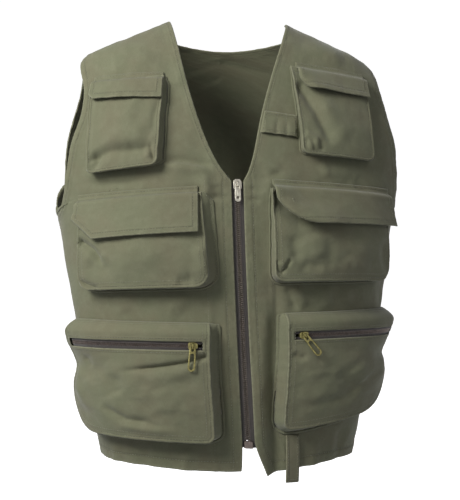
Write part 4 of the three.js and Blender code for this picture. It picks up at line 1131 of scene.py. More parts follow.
def bagLift(name, size, across, below):
    lift = faceLift(size, across, np.maximum(below, cargoZip["band"]) if size["mouth"] == 0 else below)
    if size["mouth"] == 0:
        lift = lift * np.sin(quarterTurn * np.clip(below / 13, 0, 1)) ** 0.8
    seed = seedOf(name)
    toEdge = toFaceEdge(size, across, below)
    inside = smooth(toEdge / 16)
    worn = bagWear["broad"] * ripple(across / 46, below / 40, seed)
    worn = worn + bagWear["soft"] * ripple(across / 19, below / 17, seed + 1)
    worn = worn + bagWear["crumple"] * creaseNoise(across / 30, below / 26, seed + 2)
    worn = worn + bagWear["fine"] * ripple(across / 6, below / 6, seed + 3)
    if size["mouth"] == 0:
        worn = worn * mix(0.35, 1, smooth((below - 34) / 14))
    drawn = strokes(across, below, pocketCreases[name]) * smooth(toEdge / 3.5 + 0.25) * bagWear["drawn"]
    # the seam's rib at the edge, and the stitched furrow inside it
    rib = 0.45 * np.exp(-((toEdge - 0.2) / 1.3) ** 2) - 0.35 * np.exp(-((toEdge - 3.0) / 1.5) ** 2)
    gathered = ripple(across / 4.5, below / 4.5, seed + 4) * 0.5 * np.exp(-toEdge / 7)
    return lift + worn * inside + drawn + rib + gathered


def pocketBag(name, nodes):
    place = pocketPlaces[name]
    size = sizeOf(name)
    width = size["width"]
    seed = seedOf(name)
    cargo = size["mouth"] == 0
    # columns follow the two round corners at both ends
    count = 9 if size["cornerOut"] < 30 else 22
    bendIn = size["cornerIn"] * (1 - np.cos(np.linspace(0, quarterTurn, 9)))
    bendOut = width - size["cornerOut"] * (1 - np.cos(np.linspace(0, quarterTurn, count)))
    middleStart = bendIn[-1]
    middleEnd = bendOut[-1]
    middle = np.linspace(middleStart, middleEnd, int((middleEnd - middleStart) / 1.9))[1:-1]
    across = np.concatenate([bendIn, middle, bendOut[::-1]])
    low = [0.0, 0.8, 1.8, 3.0, 4.2, 6.0, 8.0]
    if cargo:
        slotTop = cargoZip["band"]
        slotBottom = slotTop + 2 * cargoZip["gap"]
        upper = [0.0, 0.8, 2.0, 4.0, 6.5, 9.5, 12.5, 15.5, 18.0, 20.0, slotTop]
        upper = upper + list(np.linspace(slotTop, slotBottom, 6)[1:]) + [slotBottom + 1, slotBottom + 2.6]
        upper = np.array(upper)[::-1]
        inset = cargoZip["inset"] - 2
        across = np.unique(np.concatenate([across, [inset, width - inset]]))
    else:
        upper = np.array([size["mouth"], size["mouth"] + 0.9, size["mouth"] + 2.2])[::-1]
    bottom = bottomBelow(size, across)
    rows = [bottom - s for s in low]
    rest = rows[-1]
    number = int((size["height"] - low[-1] - upper[0]) / 1.9)
    for t in np.linspace(0, 1, number + 1)[1:-1]:
        rows.append(mix(rest, upper[0], t))
    for value in upper:
        rows.append(np.full(across.shape, value))
    below = np.array(rows)
    over = np.broadcast_to(across, below.shape)
    lift = bagLift(name, size, over, below)
    if not cargo:
        # the mouth lies under the flap
        lift = lift * mix(0.45, 1, smooth((below - size["mouth"]) / 16))
    # the sides pull in a little between the corners
    down = np.clip(below / size["height"], 0, 1)
    waver = ripple(below / 22, over * 0 + seed, seed + 8) * 1.6 + ripple(below / 9, over * 0, seed + 9) * 0.5
    shift = waver * np.sin(math.pi * down) * np.where(over < width / 2, 1, -1)
    shift = shift * np.exp(-np.minimum(over, width - over) / 14)
    face = pocketPoint(size, place, over + shift, below, lift)
    rowCount, columnCount = below.shape
    kept = np.ones((rowCount - 1, columnCount - 1), bool)
    if cargo:
        middleBelow = (below[:-1, :-1] + below[1:, 1:]) / 2
        middleOver = (over[:-1, :-1] + over[1:, 1:]) / 2
        inSlot = (middleBelow > slotTop) & (middleBelow < slotBottom)
        kept = ~(inSlot & (middleOver > inset) & (middleOver < width - inset))
    quads = gridQuads(rowCount, columnCount, kept=kept)
    index = np.arange(rowCount * columnCount).reshape(rowCount, columnCount)
    # the gusset starts on the face's own edge and comes down to the vest
    edge = np.concatenate([index[::-1, 0], index[0, 1:-1], index[:, -1]])
    edgeOver = (over + shift).ravel()[edge]
    edgeBelow = below.ravel()[edge]
    edgeLift = lift.ravel()[edge]
    flatOver = np.clip(over.ravel()[edge], 0, width)
    angleIn = np.arccos(np.clip(1 - flatOver / size["cornerIn"], 0, 1))
    angleOut = np.arccos(np.clip(1 - (width - flatOver) / size["cornerOut"], 0, 1))
    sideways = np.where(flatOver < size["cornerIn"], -np.cos(angleIn), 0.0)
    sideways = np.where(width - flatOver < size["cornerOut"], np.cos(angleOut), sideways)
    sideways = np.where(flatOver <= 1e-6, -1.0, np.where(flatOver >= width - 1e-6, 1.0, sideways))
    downwards = np.sqrt(np.maximum(1 - sideways**2, 0))
    foot = np.where(sideways < 0, size["footIn"], size["footOut"])
    stands = smooth(edgeLift / 7)
    levels = np.array([0.06, 0.14, 0.26, 0.4, 0.55, 0.7, 0.84, 0.94, 1.0, 1.12])
    strip = []
    along = np.concatenate([[0], np.cumsum(np.hypot(np.diff(edgeOver), np.diff(edgeBelow)))])
    for g in levels:
        reach = min(g, 1.0)
        beyond = max(g - 1.0, 0) * 24
        tuck = 2.2 * math.sin(math.pi * min(reach / 0.6, 1)) * stands
        sag = ripple(along / 11, along * 0 + g * 1.7, seed + 12) * 1.5 * math.sin(math.pi * reach)
        out = (foot * reach + beyond) * stands - tuck + sag * 0.5
        downOut = (size["footDown"] * reach + beyond) * stands - tuck + sag * 0.5
        height = edgeLift * (1 - smooth(np.full(edge.shape, reach)) ** 0.85) - 0.55 * reach + sag * 0.4
        strip.append(
            pocketPoint(size, place, edgeOver + sideways * out, edgeBelow + downwards * downOut, height)
        )
    strip = np.array(strip)
    start = rowCount * columnCount
    grid = np.vstack([edge[None, :], start + np.arange(strip.shape[0] * len(edge)).reshape(-1, len(edge))])
    gusset = np.stack([grid[:-1, :-1], grid[1:, :-1], grid[1:, 1:], grid[:-1, 1:]], axis=-1).reshape(-1, 4)
    allPoints = np.concatenate([face.reshape(-1, 3), strip.reshape(-1, 3)])
    # both grids have to face the same way round
    flatNormal = pocketOutward(place, width)
    faceTurned = facingAway(allPoints, quads, np.tile(flatNormal, (len(allPoints), 1)))
    bottomEdge = {(int(q[k]), int(q[(k + 1) % 4])) for q in faceTurned[:columnCount] for k in range(4)}
    first = [int(corner) for corner in gusset[rowCount]]
    if (first[0], first[1]) in bottomEdge or (first[3], first[0]) in bottomEdge:
        gusset = gusset[:, ::-1]
    allQuads = np.concatenate([faceTurned, gusset])
    toEdge = toFaceEdge(size, over, below)
    stripWeave = []
    stripSewn = []
    for g in levels:
        stripWeave.append(np.stack([along, np.full(edge.shape, g * 16.0)], axis=-1))
        stripSewn.append(np.full(edge.shape, 0.35 + 3 * g if g < 0.6 else max(0.0, (1.2 - g) * 5)))
    weave = np.concatenate([
        np.stack([over + seed, below], axis=-1).reshape(-1, 2), np.array(stripWeave).reshape(-1, 2)
    ])
    hemFrom = slotHem(size, over, below) if cargo else (below - size["mouth"]) / 8
    sewn = np.minimum(toEdge / bagSew["edge"], np.maximum(hemFrom, 0))
    sewn = np.concatenate([sewn.ravel(), np.array(stripSewn).ravel()])
    outward = np.zeros_like(allPoints)
    outward[: start] = flatNormal
    piece, outer, normals = addCloth(
        name + "Bag", allPoints, allQuads, outward, weave, sewn, oliveTwill, nodes
    )
    rest = "frontRight" if place["side"] == right else "frontLeft"
    # stitching: a row inside the edge, two rows on the larger pockets, and one at the foot
    runs = [insetLine(size, place, name, upper[-1], bagSew["edge"])]
    if place["kind"] != "chest":
        runs.append(insetLine(size, place, name, upper[-1], bagSew["second"]))
    foot = [m[start:].reshape(len(levels), len(edge), 3)[-2] for m in (outer, normals)]
    runs.append(tuple(foot))
    if cargo:
        for level in (slotTop - bagSew["slot"], slotBottom + bagSew["slot"], bagSew["top"]):
            runs.append(levelLine(size, place, name, level, inset, width - inset))
    addStitches(name + "BagStitches", runs)


def slotHem(size, across, below):
    # distance from the zip's slot, in shares of its stitching's distance
    top = cargoZip["band"]
    bottom = top + 2 * cargoZip["gap"]
    inset = cargoZip["inset"] - 2
    outX = np.maximum(np.maximum(inset - across, across - (size["width"] - inset)), 0)
    outY = np.maximum(np.maximum(top - below, below - bottom), 0)
    fromTop = np.maximum(below, 0) / bagSew["top"]
    return np.minimum(np.hypot(outX, outY) / bagSew["slot"], fromTop)


def faceSurface(size, place, name, across, below):
    lift = bagLift(name, size, across, below)
    if size["mouth"] > 0:
        lift = lift * mix(0.45, 1, smooth((below - size["mouth"]) / 16))
    return pocketPoint(size, place, across, below, lift + vest["cloth"] / 2)


def insetLine(size, place, name, top, inwards):
    # a line inside the face's edge: down one side, round the corners, and up the other
    width = size["width"]
    height = size["height"]
    radiusIn = max(size["cornerIn"] - inwards, 0.5)
    radiusOut = max(size["cornerOut"] - inwards, 0.5)
    top = top + (3 if size["mouth"] == 0 else 1)
    turn = np.linspace(0, quarterTurn, 24)
    inCorner = np.stack([
        inwards + radiusIn * (1 - np.cos(turn)), height - inwards - radiusIn * (1 - np.sin(turn))
    ], axis=1)
    outCorner = np.stack([
        width - inwards - radiusOut * (1 - np.cos(turn)), height - inwards - radiusOut * (1 - np.sin(turn))
    ], axis=1)[::-1]
    down = np.stack([np.full(60, inwards), np.linspace(top, inCorner[0, 1], 60)], axis=1)
    up = np.stack([np.full(60, width - inwards), np.linspace(outCorner[-1, 1], top, 60)], axis=1)
    between = np.linspace(inCorner[-1], outCorner[0], 90)
    line = np.concatenate([down, inCorner[1:], between[1:-1], outCorner, up[1:]])
    return faceLine(size, place, name, line[:, 0], line[:, 1])


def faceLine(size, place, name, across, below):
    # points on the face's outer side, and the way out of the cloth there
    sideways = faceSurface(size, place, name, across + 1, below)
    sideways = sideways - faceSurface(size, place, name, across - 1, below)
    downwards = faceSurface(size, place, name, across, below + 1)
    downwards = downwards - faceSurface(size, place, name, across, below - 1)
    normals = unit(np.cross(downwards, sideways)) * place["side"]
    return faceSurface(size, place, name, across, below), normals


def levelLine(size, place, name, below, start, end):
    return faceLine(size, place, name, np.linspace(start, end, 160), np.full(160, below))


# Flaps. curl rolls the inner lower corner under, clip cuts the outer lower one off, and stand
# lifts the lower edge off the pocket.
flaps = {
    "chestRight": {"kind": "chest", "cad": "chest_flap_right", "height": 31.0, "over": 2.5, "curl": 0.0,
                   "clip": 6.0, "stand": 2.0, "curlRise": 0.0,
                   "corners": ((7, 1), (-4, -1.5), (9, 9), (-1, 3))},
    "chestLeft": {"kind": "chest", "cad": "chest_flap_left", "height": 31.0, "over": 2.5, "curl": 36.0,
                  "clip": 0.0, "stand": 4.0, "curlRise": 6.0,
                  "corners": ((4, -3), (0, 0), (0, 11), (-3, 9))},
    "waistRight": {"kind": "waist", "cad": "waist_flap_right", "height": 59.0, "over": 3.0, "curl": 0.0,
                   "clip": 31.0, "stand": 3.5, "curlRise": 0.0,
                   "corners": ((11, 2), (0, 3), (11, 0), (0, 0))},
    "waistLeft": {"kind": "waist", "cad": "waist_flap_left", "height": 52.0, "over": 3.0, "curl": 70.0,
                  "clip": 0.0, "stand": 5.0, "curlRise": 9.0,
                  "corners": ((0, -1.5), (3, -4), (0, 3), (1, -10))},
}
flapThickness = 2.0
flapSew = {"top": 1.8, "second": 8.0, "edge": 5.5}
flapRoll = {"radius": 3.6, "turn": 2.3}


def flapSurface(name, across, reach):
    flap = flaps[name]
    place = pocketPlaces[name]
    size = pocketSizes[flap["kind"]]
    seed = seedOf(name) + 40
    t = reach / flap["height"]
    width = size["width"]
    # a clipped corner pulls the lower edge up towards the outer side
    wide = flap["clip"] * 1.1
    clipped = flap["clip"] * np.clip((across - (width + flap["over"] - wide)) / (wide + 1e-6), 0, 1)
    reach = reach - clipped * smooth((t - 0.3) / 0.7) * 0.92
    away = mix(0.1, faceLift(size, np.clip(across, 0, width), reach) + 3.6, smooth((reach - 4) / 9))
    away = away + flap["stand"] * t**2
    hemWave = ripple(across / 30, across * 0 + 2.0, seed) * 1.6
    hemWave = hemWave + ripple(across / 13, across * 0, seed + 1) * 0.6
    away = away + hemWave * t * t
    worn = 0.55 * ripple(across / 24, reach / 16, seed + 2)
    worn = worn + 0.35 * creaseNoise(across / 26, reach / 18, seed + 3)
    away = away + worn * smooth(reach / 10)
    toSide = np.minimum(across + flap["over"], width + flap["over"] - across)
    edge = np.minimum(toSide, (1 - t) * flap["height"])
    away = away + ripple(across / 5, reach / 5, seed + 4) * 0.4 * np.exp(-np.maximum(edge, 0) / 6)
    away = away - 0.3 * np.exp(-((reach - flapSew["second"]) / 1.6) ** 2)
    x = across
    y = reach
    if flap["curl"] > 0:
        # roll the inner corner under, beyond a quarter of an ellipse
        wide = flap["curl"]
        centreX = wide - flap["over"]
        centreY = flap["height"] * 0.06
        high = flap["height"] - centreY
        outX = np.maximum(centreX - x, 0) / wide
        outY = np.maximum(y - centreY, 0) / high
        ring = np.maximum(np.hypot(outX, outY), 0.02)
        beyond = (ring - 1) * np.hypot(outX * wide, outY * high) / ring
        wayX = -outX / wide
        wayY = outY / high
        wayLength = np.maximum(np.hypot(wayX, wayY), 1e-6)
        wayX = wayX / wayLength
        wayY = wayY / wayLength
        # the surface rises towards the roll
        near = smooth(1 - np.maximum(-beyond, 0) / 30) * smooth((centreX + 30 - x) / 50)
        away = away + flap["curlRise"] * near * smooth((reach - 5) / 12)
        radius = flapRoll["radius"]
        limit = radius * flapRoll["turn"]
        turn = np.clip(beyond, 0, limit) / radius
        rest = np.maximum(beyond - limit, 0)
        moved = radius * np.sin(turn) + rest * math.cos(flapRoll["turn"])
        deep = radius * (1 - np.cos(turn)) + rest * math.sin(flapRoll["turn"]) * 0.3
        shift = np.where(beyond > 0, moved - beyond, 0)
        x = x + wayX * shift
        y = y + wayY * shift
        away = away - np.where(beyond > 0, deep, 0)
    return pocketPoint(size, place, x, y, away, 1.0, flap["corners"], flap["height"])


def addFlap(name):
    flap = flaps[name]
    size = pocketSizes[flap["kind"]]
    place = pocketPlaces[name]
    width = size["width"]
    lines = [0.0, 0.8, 1.8, 3.2, 4.6, 5.6, 7.0]
    across = spots(width + 2 * flap["over"], lines, lines, 1.9) - flap["over"]
    reach = spots(flap["height"], [0.0, 0.8, 1.8, 3.0, 5.0, 7.0, 8.0, 9.0], lines, 1.8)
    over, down = np.meshgrid(across, reach)
    points = flapSurface(name, over, down)
    toSide = np.minimum(over + flap["over"], width + flap["over"] - over)
    toEdge = np.minimum(toSide, flap["height"] - down)
    sewn = np.minimum(toEdge / flapSew["edge"], np.abs(down - flapSew["second"]) / 6 + 1.0)
    sewn = np.where(down < flapSew["second"] + 2, 1 + np.abs(down - flapSew["second"]) / 9, sewn)
    seed = seedOf(name) + 90
    weave = np.stack([over + seed, down], axis=-1)
    outward = np.broadcast_to(pocketOutward(place, width), points.shape)
    piece, outer, normals = addCloth(
        name + "Flap", points, gridQuads(*over.shape), outward, weave, sewn, oliveTwill, [flap["cad"]],
        thickness=flapThickness,
    )
    outer = outer.reshape(points.shape)
    normals = normals.reshape(points.shape)
    c = int(np.argmin(np.abs(across + flap["over"] - flapSew["edge"])))
    d = len(across) - 1 - c
    b = int(np.argmin(np.abs(reach - (flap["height"] - flapSew["edge"]))))
    top = int(np.argmin(np.abs(reach - flapSew["top"])))
    second = int(np.argmin(np.abs(reach - flapSew["second"])))
    runs = [
        (outer[top, 1:-1], normals[top, 1:-1]),
        (outer[second, 1:-1], normals[second, 1:-1]),
        (outer[b, c : d + 1], normals[b, c : d + 1]),
        (outer[second : b + 1, c], normals[second : b + 1, c]),
        (outer[second : b + 1, d], normals[second : b + 1, d]),
    ]
    addStitches(name + "FlapStitches", runs)


pocketBag("chestRight", ["chest_pocket_right"])
pocketBag("chestLeft", ["chest_pocket_left"])
pocketBag("waistRight", ["waist_pocket_right"])
pocketBag("waistLeft", ["waist_pocket_left"])
pocketBag("cargoRight", ["cargo_right_pocket", "cargo_right_top"])
pocketBag("cargoLeft", ["cargo_left_pocket", "cargo_left_top"])
print("pockets are sewn on")
for flapName in flaps:
    addFlap(flapName)
print("flaps hang over them")

# Tab and strap
chestTab = {
    "top": 0.232, "fall": 5.0, "height": 28.0, "thickness": 1.8, "stand": 3.2, "inset": 3.0, "outer": 79.0,
}
hemStrap = {
    "inner": 61.0, "width": 16.0, "length": 58.0, "thickness": 1.8,
    "top": pocketPlaces["cargoLeft"]["top"] * vest["length"] + 152.0,
}


def addTab():
    tab = chestTab
    u = np.linspace(0, 1, 34)
    t = np.concatenate([[0, 0.03, 0.08], np.linspace(0.14, 0.86, 14), [0.92, 0.97, 1]])
    over, down = np.meshgrid(u, t)
    drop = tab["top"] * vest["length"] + tab["fall"] * over + tab["height"] * down
    arc = mix(neckEdge(left, drop) + tab["inset"], tab["outer"], over)
    free = smooth(over / 0.1) * smooth((1 - over) / 0.1) * smooth(down / 0.8)
    pinned = np.exp(-((over - 0.4) / 0.06) ** 2) + np.exp(-((over - 0.68) / 0.06) ** 2)
    lift = vest["cloth"] / 2 + 1.3 + tab["stand"] * free * (1 - 0.35 * pinned)
    lift = lift + ripple(arc / 9, drop / 9, 31) * 0.35
    points = onVest(arc, drop, lift)
    outward = bodyNormal(angleAt(arc, drop), drop)
    toEdge = np.minimum(np.minimum(over, 1 - over) * 45, np.minimum(down, 1 - down) * tab["height"])
    piece, outer, normals = addCloth(
        "chestTab", points, gridQuads(*over.shape), outward, np.stack([drop, arc], axis=-1), toEdge / 3.0,
        oliveTwill, ["chest_tab"], thickness=tab["thickness"],
    )
    outer = outer.reshape(points.shape)
    normals = normals.reshape(points.shape)
    runs = [(outer[1:-1, k], normals[1:-1, k]) for k in (2, 13, 22, 31)]
    runs += [(outer[2, 1:-1], normals[2, 1:-1]), (outer[-3, 1:-1], normals[-3, 1:-1])]
    addStitches("chestTabStitches", runs)


def addStrap():
    strap = hemStrap
    u = np.array([0, 0.06, 0.12, 0.2, 0.35, 0.5, 0.65, 0.8, 0.88, 0.94, 1])
    t = np.linspace(0, 1, 36)
    over, down = np.meshgrid(u, t)
    free = 2.4 * np.sin(math.pi * down * 0.85) + 0.5 * ripple(down * 3, over * 0.7, 35)
    lift = vest["cloth"] / 2 + 1.6 + free
    arc = strap["inner"] + strap["width"] * over
    drop = strap["top"] + strap["length"] * down
    points = onVest(arc, drop, lift, 0.4)
    outward = bodyNormal(angleAt(arc, drop), drop)
    toEdge = np.minimum(np.minimum(over, 1 - over) * strap["width"], (1 - down) * strap["length"])
    piece, outer, normals = addCloth(
        "hemStrap", points, gridQuads(*over.shape), outward, np.stack([arc, drop], axis=-1), toEdge / 2.0,
        strapWebbing, ["hem_strap"], thickness=strap["thickness"],
    )
    outer = outer.reshape(points.shape)
    normals = normals.reshape(points.shape)
    runs = [(outer[1:-1, k], normals[1:-1, k]) for k in (2, 8)]
    runs.append((outer[-3, 1:-1], normals[-3, 1:-1]))
    addStitches("hemStrapStitches", runs)


addTab()
addStrap()
print("tab and strap are on")

# Zips

zipCloth = {
    "tapeThickness": 1.0, "drawnThickness": 0.9, "clear": 1.3, "inner": 2.6, "outer": 14.5, "endHeight": 8.0,
}
zipLift = -vest["cloth"] / 2 - zipCloth["clear"] - zipCloth["tapeThickness"] / 2
teeth = {
    "front": {"pitch": 2.5, "width": 6.2, "thick": 2.5},
    "cargo": {"pitch": 2.1, "width": 5.0, "thick": 2.1},
}


def toothForm():
    # one tooth: a rounded bar with a narrower head, across X, along Y, off the cloth Z
    stations = [(-0.12, 0.55, 0.6), (0.0, 0.9, 0.92), (0.2, 1.0, 1.0), (0.62, 1.0, 1.0), (0.68, 0.72, 0.9),
                (0.95, 0.72, 0.86), (1.0, 0.5, 0.6)]
    ring = np.array([
        [-0.5, -0.32], [-0.32, -0.5], [0.32, -0.5], [0.5, -0.32],
        [0.5, 0.32], [0.32, 0.5], [-0.32, 0.5], [-0.5, 0.32],
    ])
    points = []
    for x, wide, thick in stations:
        for y, z in ring:
            points.append((x, y * wide, z * thick))
    faces = []
    for k in range(len(stations) - 1):
        for j in range(8):
            faces.append([k * 8 + j, (k + 1) * 8 + j, (k + 1) * 8 + (j + 1) % 8, k * 8 + (j + 1) % 8])
    last = (len(stations) - 1) * 8
    for start, flip in ((0, False), (last, True)):
        for j in (0, 2, 4):
            face = [start, start + j + 1, start + j + 2, start + (j + 3) % 8]
            faces.append(face[::-1] if flip else face)
    return np.array(points), np.array(faces)


toothPoints, toothFaces = toothForm()


def addTeeth(name, lineAt, length, size, nodes):
    # teeth from both tapes take turns along the line
    count = int(length / (size["pitch"] / 2))
    share = (np.arange(count) + 0.5) / count
    centre = lineAt(share, np.zeros(count), np.zeros(count))
    over = lineAt(share, np.full(count, 1.0), np.zeros(count))
    over = unit(over - lineAt(share, np.full(count, -1.0), np.zeros(count)))
    run = unit(np.gradient(centre, axis=0))
    up = unit(np.cross(over, run))
    over = np.cross(run, up)
    way = np.where(np.arange(count) % 2 == 0, 1.0, -1.0)
    span = size["width"] / 2 + 0.55
    form = toothPoints * np.array([-span, size["pitch"] * 0.47, size["thick"]])
    form[:, 0] += size["width"] / 2
    points = (
        centre[:, None, :]
        + form[None, :, :1] * (over * way[:, None])[:, None, :]
        + form[None, :, 1:2] * run[:, None, :]
        + form[None, :, 2:] * up[:, None, :]
    )
    each = len(toothPoints)
    faces = np.broadcast_to(toothFaces[None, :, :], (count, *toothFaces.shape)).copy()
    mirrored = way < 0
    faces[mirrored] = faces[mirrored][:, :, ::-1]
    faces = (faces + (np.arange(count) * each)[:, None, None]).reshape(-1, 4)
    addPiece(name, makeMesh(name, points.reshape(-1, 3), faces), zipTeeth, nodes)


def frontZipLine(start, end):
    def line(share, across, lift):
        drop = mix(start, end, share)
        return onVest(zipArc(drop) + across, drop, zipLift + lift)

    return line


def addFrontTape(side, name, cad):
    drops = np.arange(vest["neckDrop"] + 2, frontZip["bottom"] + zipCloth["endHeight"], 2.2)
    between = [3.0, 3.5, 4.2, 5.2, 6.4, 7.6, 9.0, 11.0, 12.8, 14.0]
    aways = np.array([zipCloth["inner"], *between, zipCloth["outer"]])
    away, drop = np.meshgrid(aways, drops)
    arc = zipArc(drop) + side * away
    cord = 0.5 * np.exp(-((away - 3.2) / 0.7) ** 2)
    points = onVest(arc, drop, zipLift + cord + ripple(arc / 9, drop / 12, 51) * 0.15)
    outward = bodyNormal(angleAt(arc, drop), drop)
    piece = addCloth(
        name, points, gridQuads(*away.shape), outward, np.stack([away, drop], axis=-1), away * 0 + 9,
        zipTape, [cad], thickness=zipCloth["drawnThickness"],
    )[0]


addFrontTape(right, "frontTapeRight", "zip_tape_right")
addFrontTape(left, "frontTapeLeft", "zip_tape_left")
sliderDrop = vest["neckDrop"] + 13.0 * 0.3
addTeeth("frontTeeth", frontZipLine(sliderDrop + 1, frontZip["bottom"]), frontZip["bottom"] - sliderDrop - 1,
         teeth["front"], ["zip_chain"])


def cargoLine(place, share, across, lift, relief=1.0):
    size = pocketSizes["cargo"]
    along = mix(cargoZip["inset"], size["width"] - cargoZip["inset"], share)
    below = cargoZip["band"] + cargoZip["gap"] + across
    face = faceLift(size, along, below)
    return pocketPoint(size, place, along, below, face + lift, relief)


def addCargoZip(name, cad):
    place = pocketPlaces[name]
    size = pocketSizes["cargo"]
    share = np.linspace(0, 1.0, 90)
    aways = np.array([2.2, 2.6, 3.1, 3.8, 4.6, 5.5, 6.4, 7.2])
    tapeOutward = bodyNormal(angleAt(place["side"] * 120.0, 430.0), np.array(430.0))
    for way, part in ((-1, "upper"), (1, "lower")):
        away, along = np.meshgrid(aways, share)
        cord = 0.45 * np.exp(-((away - 2.7) / 0.6) ** 2)
        points = cargoLine(place, along, way * away, zipLift + cord)
        outward = np.broadcast_to(tapeOutward, points.shape)
        piece = addCloth(
            name + "Tape" + part.capitalize(), points, gridQuads(*away.shape), outward,
            np.stack([away, along * 168], axis=-1), away * 0 + 9, zipTape, [cad + "_tape_" + part],
            thickness=zipCloth["drawnThickness"],
        )[0]
    length = size["width"] - 2 * cargoZip["inset"]
    start = cargoZip["sliderShare"] + 1 / length

    def line(share, across, lift):
        return cargoLine(place, mix(start, 1.0, share), across, zipLift + lift)

    addTeeth(name + "Teeth", line, length * (1 - start), teeth["cargo"], [cad + "_chain"])


addCargoZip("cargoRight", "cargo_right")
addCargoZip("cargoLeft", "cargo_left")
print("zip tapes and teeth are in")

# Sliders and pulls, in the slider's own frame: the zip runs along Y, closed at -Y, Z off the cloth


def roundedPlate(name, outlines, thickness, bevel):
    curve = bpy.data.curves.new(name, "CURVE")
    curve.dimensions = "2D"
    curve.fill_mode = "BOTH"
    curve.extrude = max(thickness / 2 - bevel, 0.01)
    curve.bevel_depth = bevel
    curve.bevel_resolution = 2
    curve.offset = -bevel
    for outline in outlines:
        spline = curve.splines.new("POLY")
        spline.points.add(len(outline) - 1)
        for point, (x, y) in zip(spline.points, outline):
            point.co = (x, y, 0, 1)
        spline.use_cyclic_u = True
    shape = bpy.data.objects.new(name, curve)
    bpy.context.scene.collection.objects.link(shape)
    graph = bpy.context.evaluated_depsgraph_get()
    mesh = bpy.data.meshes.new_from_object(shape.evaluated_get(graph))
    bpy.data.objects.remove(shape)
    bpy.data.curves.remove(curve)
    return mesh


def arcOutline(cx, cy, radius, start, end, count):
    turn = np.linspace(start, end, count)
    return [(cx + radius * math.cos(a), cy + radius * math.sin(a)) for a in turn]


def taperedOutline(form):
    half = form["width"] / 2
    lower = arcOutline(0, -form["length"] + half, half, math.pi, 2 * math.pi, 15)
    return [(-form["neck"] / 2, form["top"])] + lower + [(form["neck"] / 2, form["top"])]


def slotOutline(half, top, bottom):
    upper = arcOutline(0, top - half, half, 0, math.pi, 9)
    return upper + arcOutline(0, bottom + half, half, math.pi, 2 * math.pi, 9)


def joined(name, parts, material, matrix, nodes, body):
    # parts are (mesh, matrix) in the slider's frame
    objects = []
    for mesh, local in parts:
        mesh.transform(local)
        part = bpy.data.objects.new(name, mesh)
        bpy.context.scene.collection.objects.link(part)
        objects.append(part)
    bpy.ops.object.select_all(action="DESELECT")
    for part in objects:
        part.select_set(True)
    bpy.context.view_layer.objects.active = objects[0]
    if len(objects) > 1:
        bpy.ops.object.join()
    merged = bpy.context.view_layer.objects.active
    merged.name = name
    merged.data.name = name
    merged.data.transform(Matrix.Scale(0.001, 4) @ matrix)
    merged.data.materials.clear()
    merged.data.materials.append(material)
    merged.data.polygons.foreach_set("use_smooth", np.ones(len(merged.data.polygons), bool))
    merged.data.set_sharp_from_angle(angle=math.radians(38))
    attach(merged, body)
    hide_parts(*nodes)


def frameMatrix(x, y, z, origin):
    matrix = Matrix.Identity(4)
    for k, axis in enumerate((x, y, z, origin)):
        for row in range(3):
            matrix[row][k] = float(axis[row])
    return matrix


frontSlider = {"length": 13.0, "width": 10.5, "plate": 1.5, "clear": 0.4, "chain": 2.6, "flange": 1.6}
cargoSlider = {**frontSlider, "length": 11.5, "width": 8.8, "chain": 2.2}
crown = {"length": 7.0, "width": 2.0, "wall": 1.3, "bar": 1.3}
# pulls: an eye and slots as (half width, top, bottom), all down from the bar
frontPullForm = {
    "neck": 6.8, "width": 7.6, "length": 23.0, "top": 0.65, "eye": (1.56, -0.2, -7.0), "hole": (-17.6, 1.7),
    "thickness": 1.3, "bevel": 0.45, "boss": (1.3, -8.8, -14.8), "bossThickness": 0.8, "tilt": 0.02,
}
cargoPullForm = {
    "neck": 7.4, "width": 9.4, "length": 31.0, "top": 0.65, "eye": (1.56, -0.2, -6.8),
    "slot": (2.5, -9.2, -28.6), "thickness": 1.5, "bevel": 0.55, "tilt": 0.1,
    "turn": {"cargoRight": 0.97, "cargoLeft": -0.6},
}


def sliderParts(size, crownTurn):
    half = size["length"] / 2
    wide = size["width"] / 2
    oneSide = [(wide - 1.2, -half), (wide - 0.2, -half + 1.2), (wide, half * 0.1), (wide - 0.5, half * 0.62),
               (wide * 0.55, half)]
    outline = [(-oneSide[0][0], oneSide[0][1])] + oneSide + [(-x, y) for x, y in oneSide[:0:-1]]
    inside = size["chain"] / 2 + size["clear"]
    level = inside + size["plate"] / 2
    parts = []
    for way in (1, -1):
        plate = roundedPlate("plate", [outline], size["plate"], 0.5)
        parts.append((plate, Matrix.Translation((0, 0, way * level))))
    post = roundedPlate("post", [[(-1.8, -1.6), (1.8, -1.6), (1.1, 1.8), (-1.1, 1.8)]], 2 * level, 0.2)
    parts.append((post, Matrix.Translation((0, half - size["length"] * 0.16, 0))))
    # the flanges that guide the teeth
    for side in (1, -1):
        flange = roundedPlate(
            "flange", [[(-0.45, -half + 1.4), (0.45, -half + 1.4), (0.45, half * 0.4), (-0.45, half * 0.4)]],
            size["flange"], 0.25,
        )
        parts.append((flange, Matrix.Translation((side * (wide - 0.6), 0, level - 0.7))))
    # the crown: an arch that holds the pull's bar
    window = crown["bar"] + 2.2 * size["clear"]
    height = window + crown["wall"] + 2 * size["clear"]
    foot = crown["length"] / 2
    arch = [(-foot, -0.7), (-foot, height - 2.0), (-foot + 0.5, height - 0.8), (-foot + 1.8, height),
            (foot - 1.8, height), (foot - 0.5, height - 0.8), (foot, height - 2.0), (foot, -0.7)]
    reach = foot - crown["wall"]
    low = height - crown["wall"] - window
    high = height - crown["wall"]
    opening = [(-reach, low), (reach, low), (reach, high), (-reach, high)]
    archMesh = roundedPlate("crown", [arch, opening], crown["width"], 0.35)
    turned = Matrix.Rotation(quarterTurn + crownTurn, 4, "Z") @ Matrix.Rotation(quarterTurn, 4, "X")
    parts.append((archMesh, Matrix.Translation((0, 0, inside + size["plate"])) @ turned))
    return parts


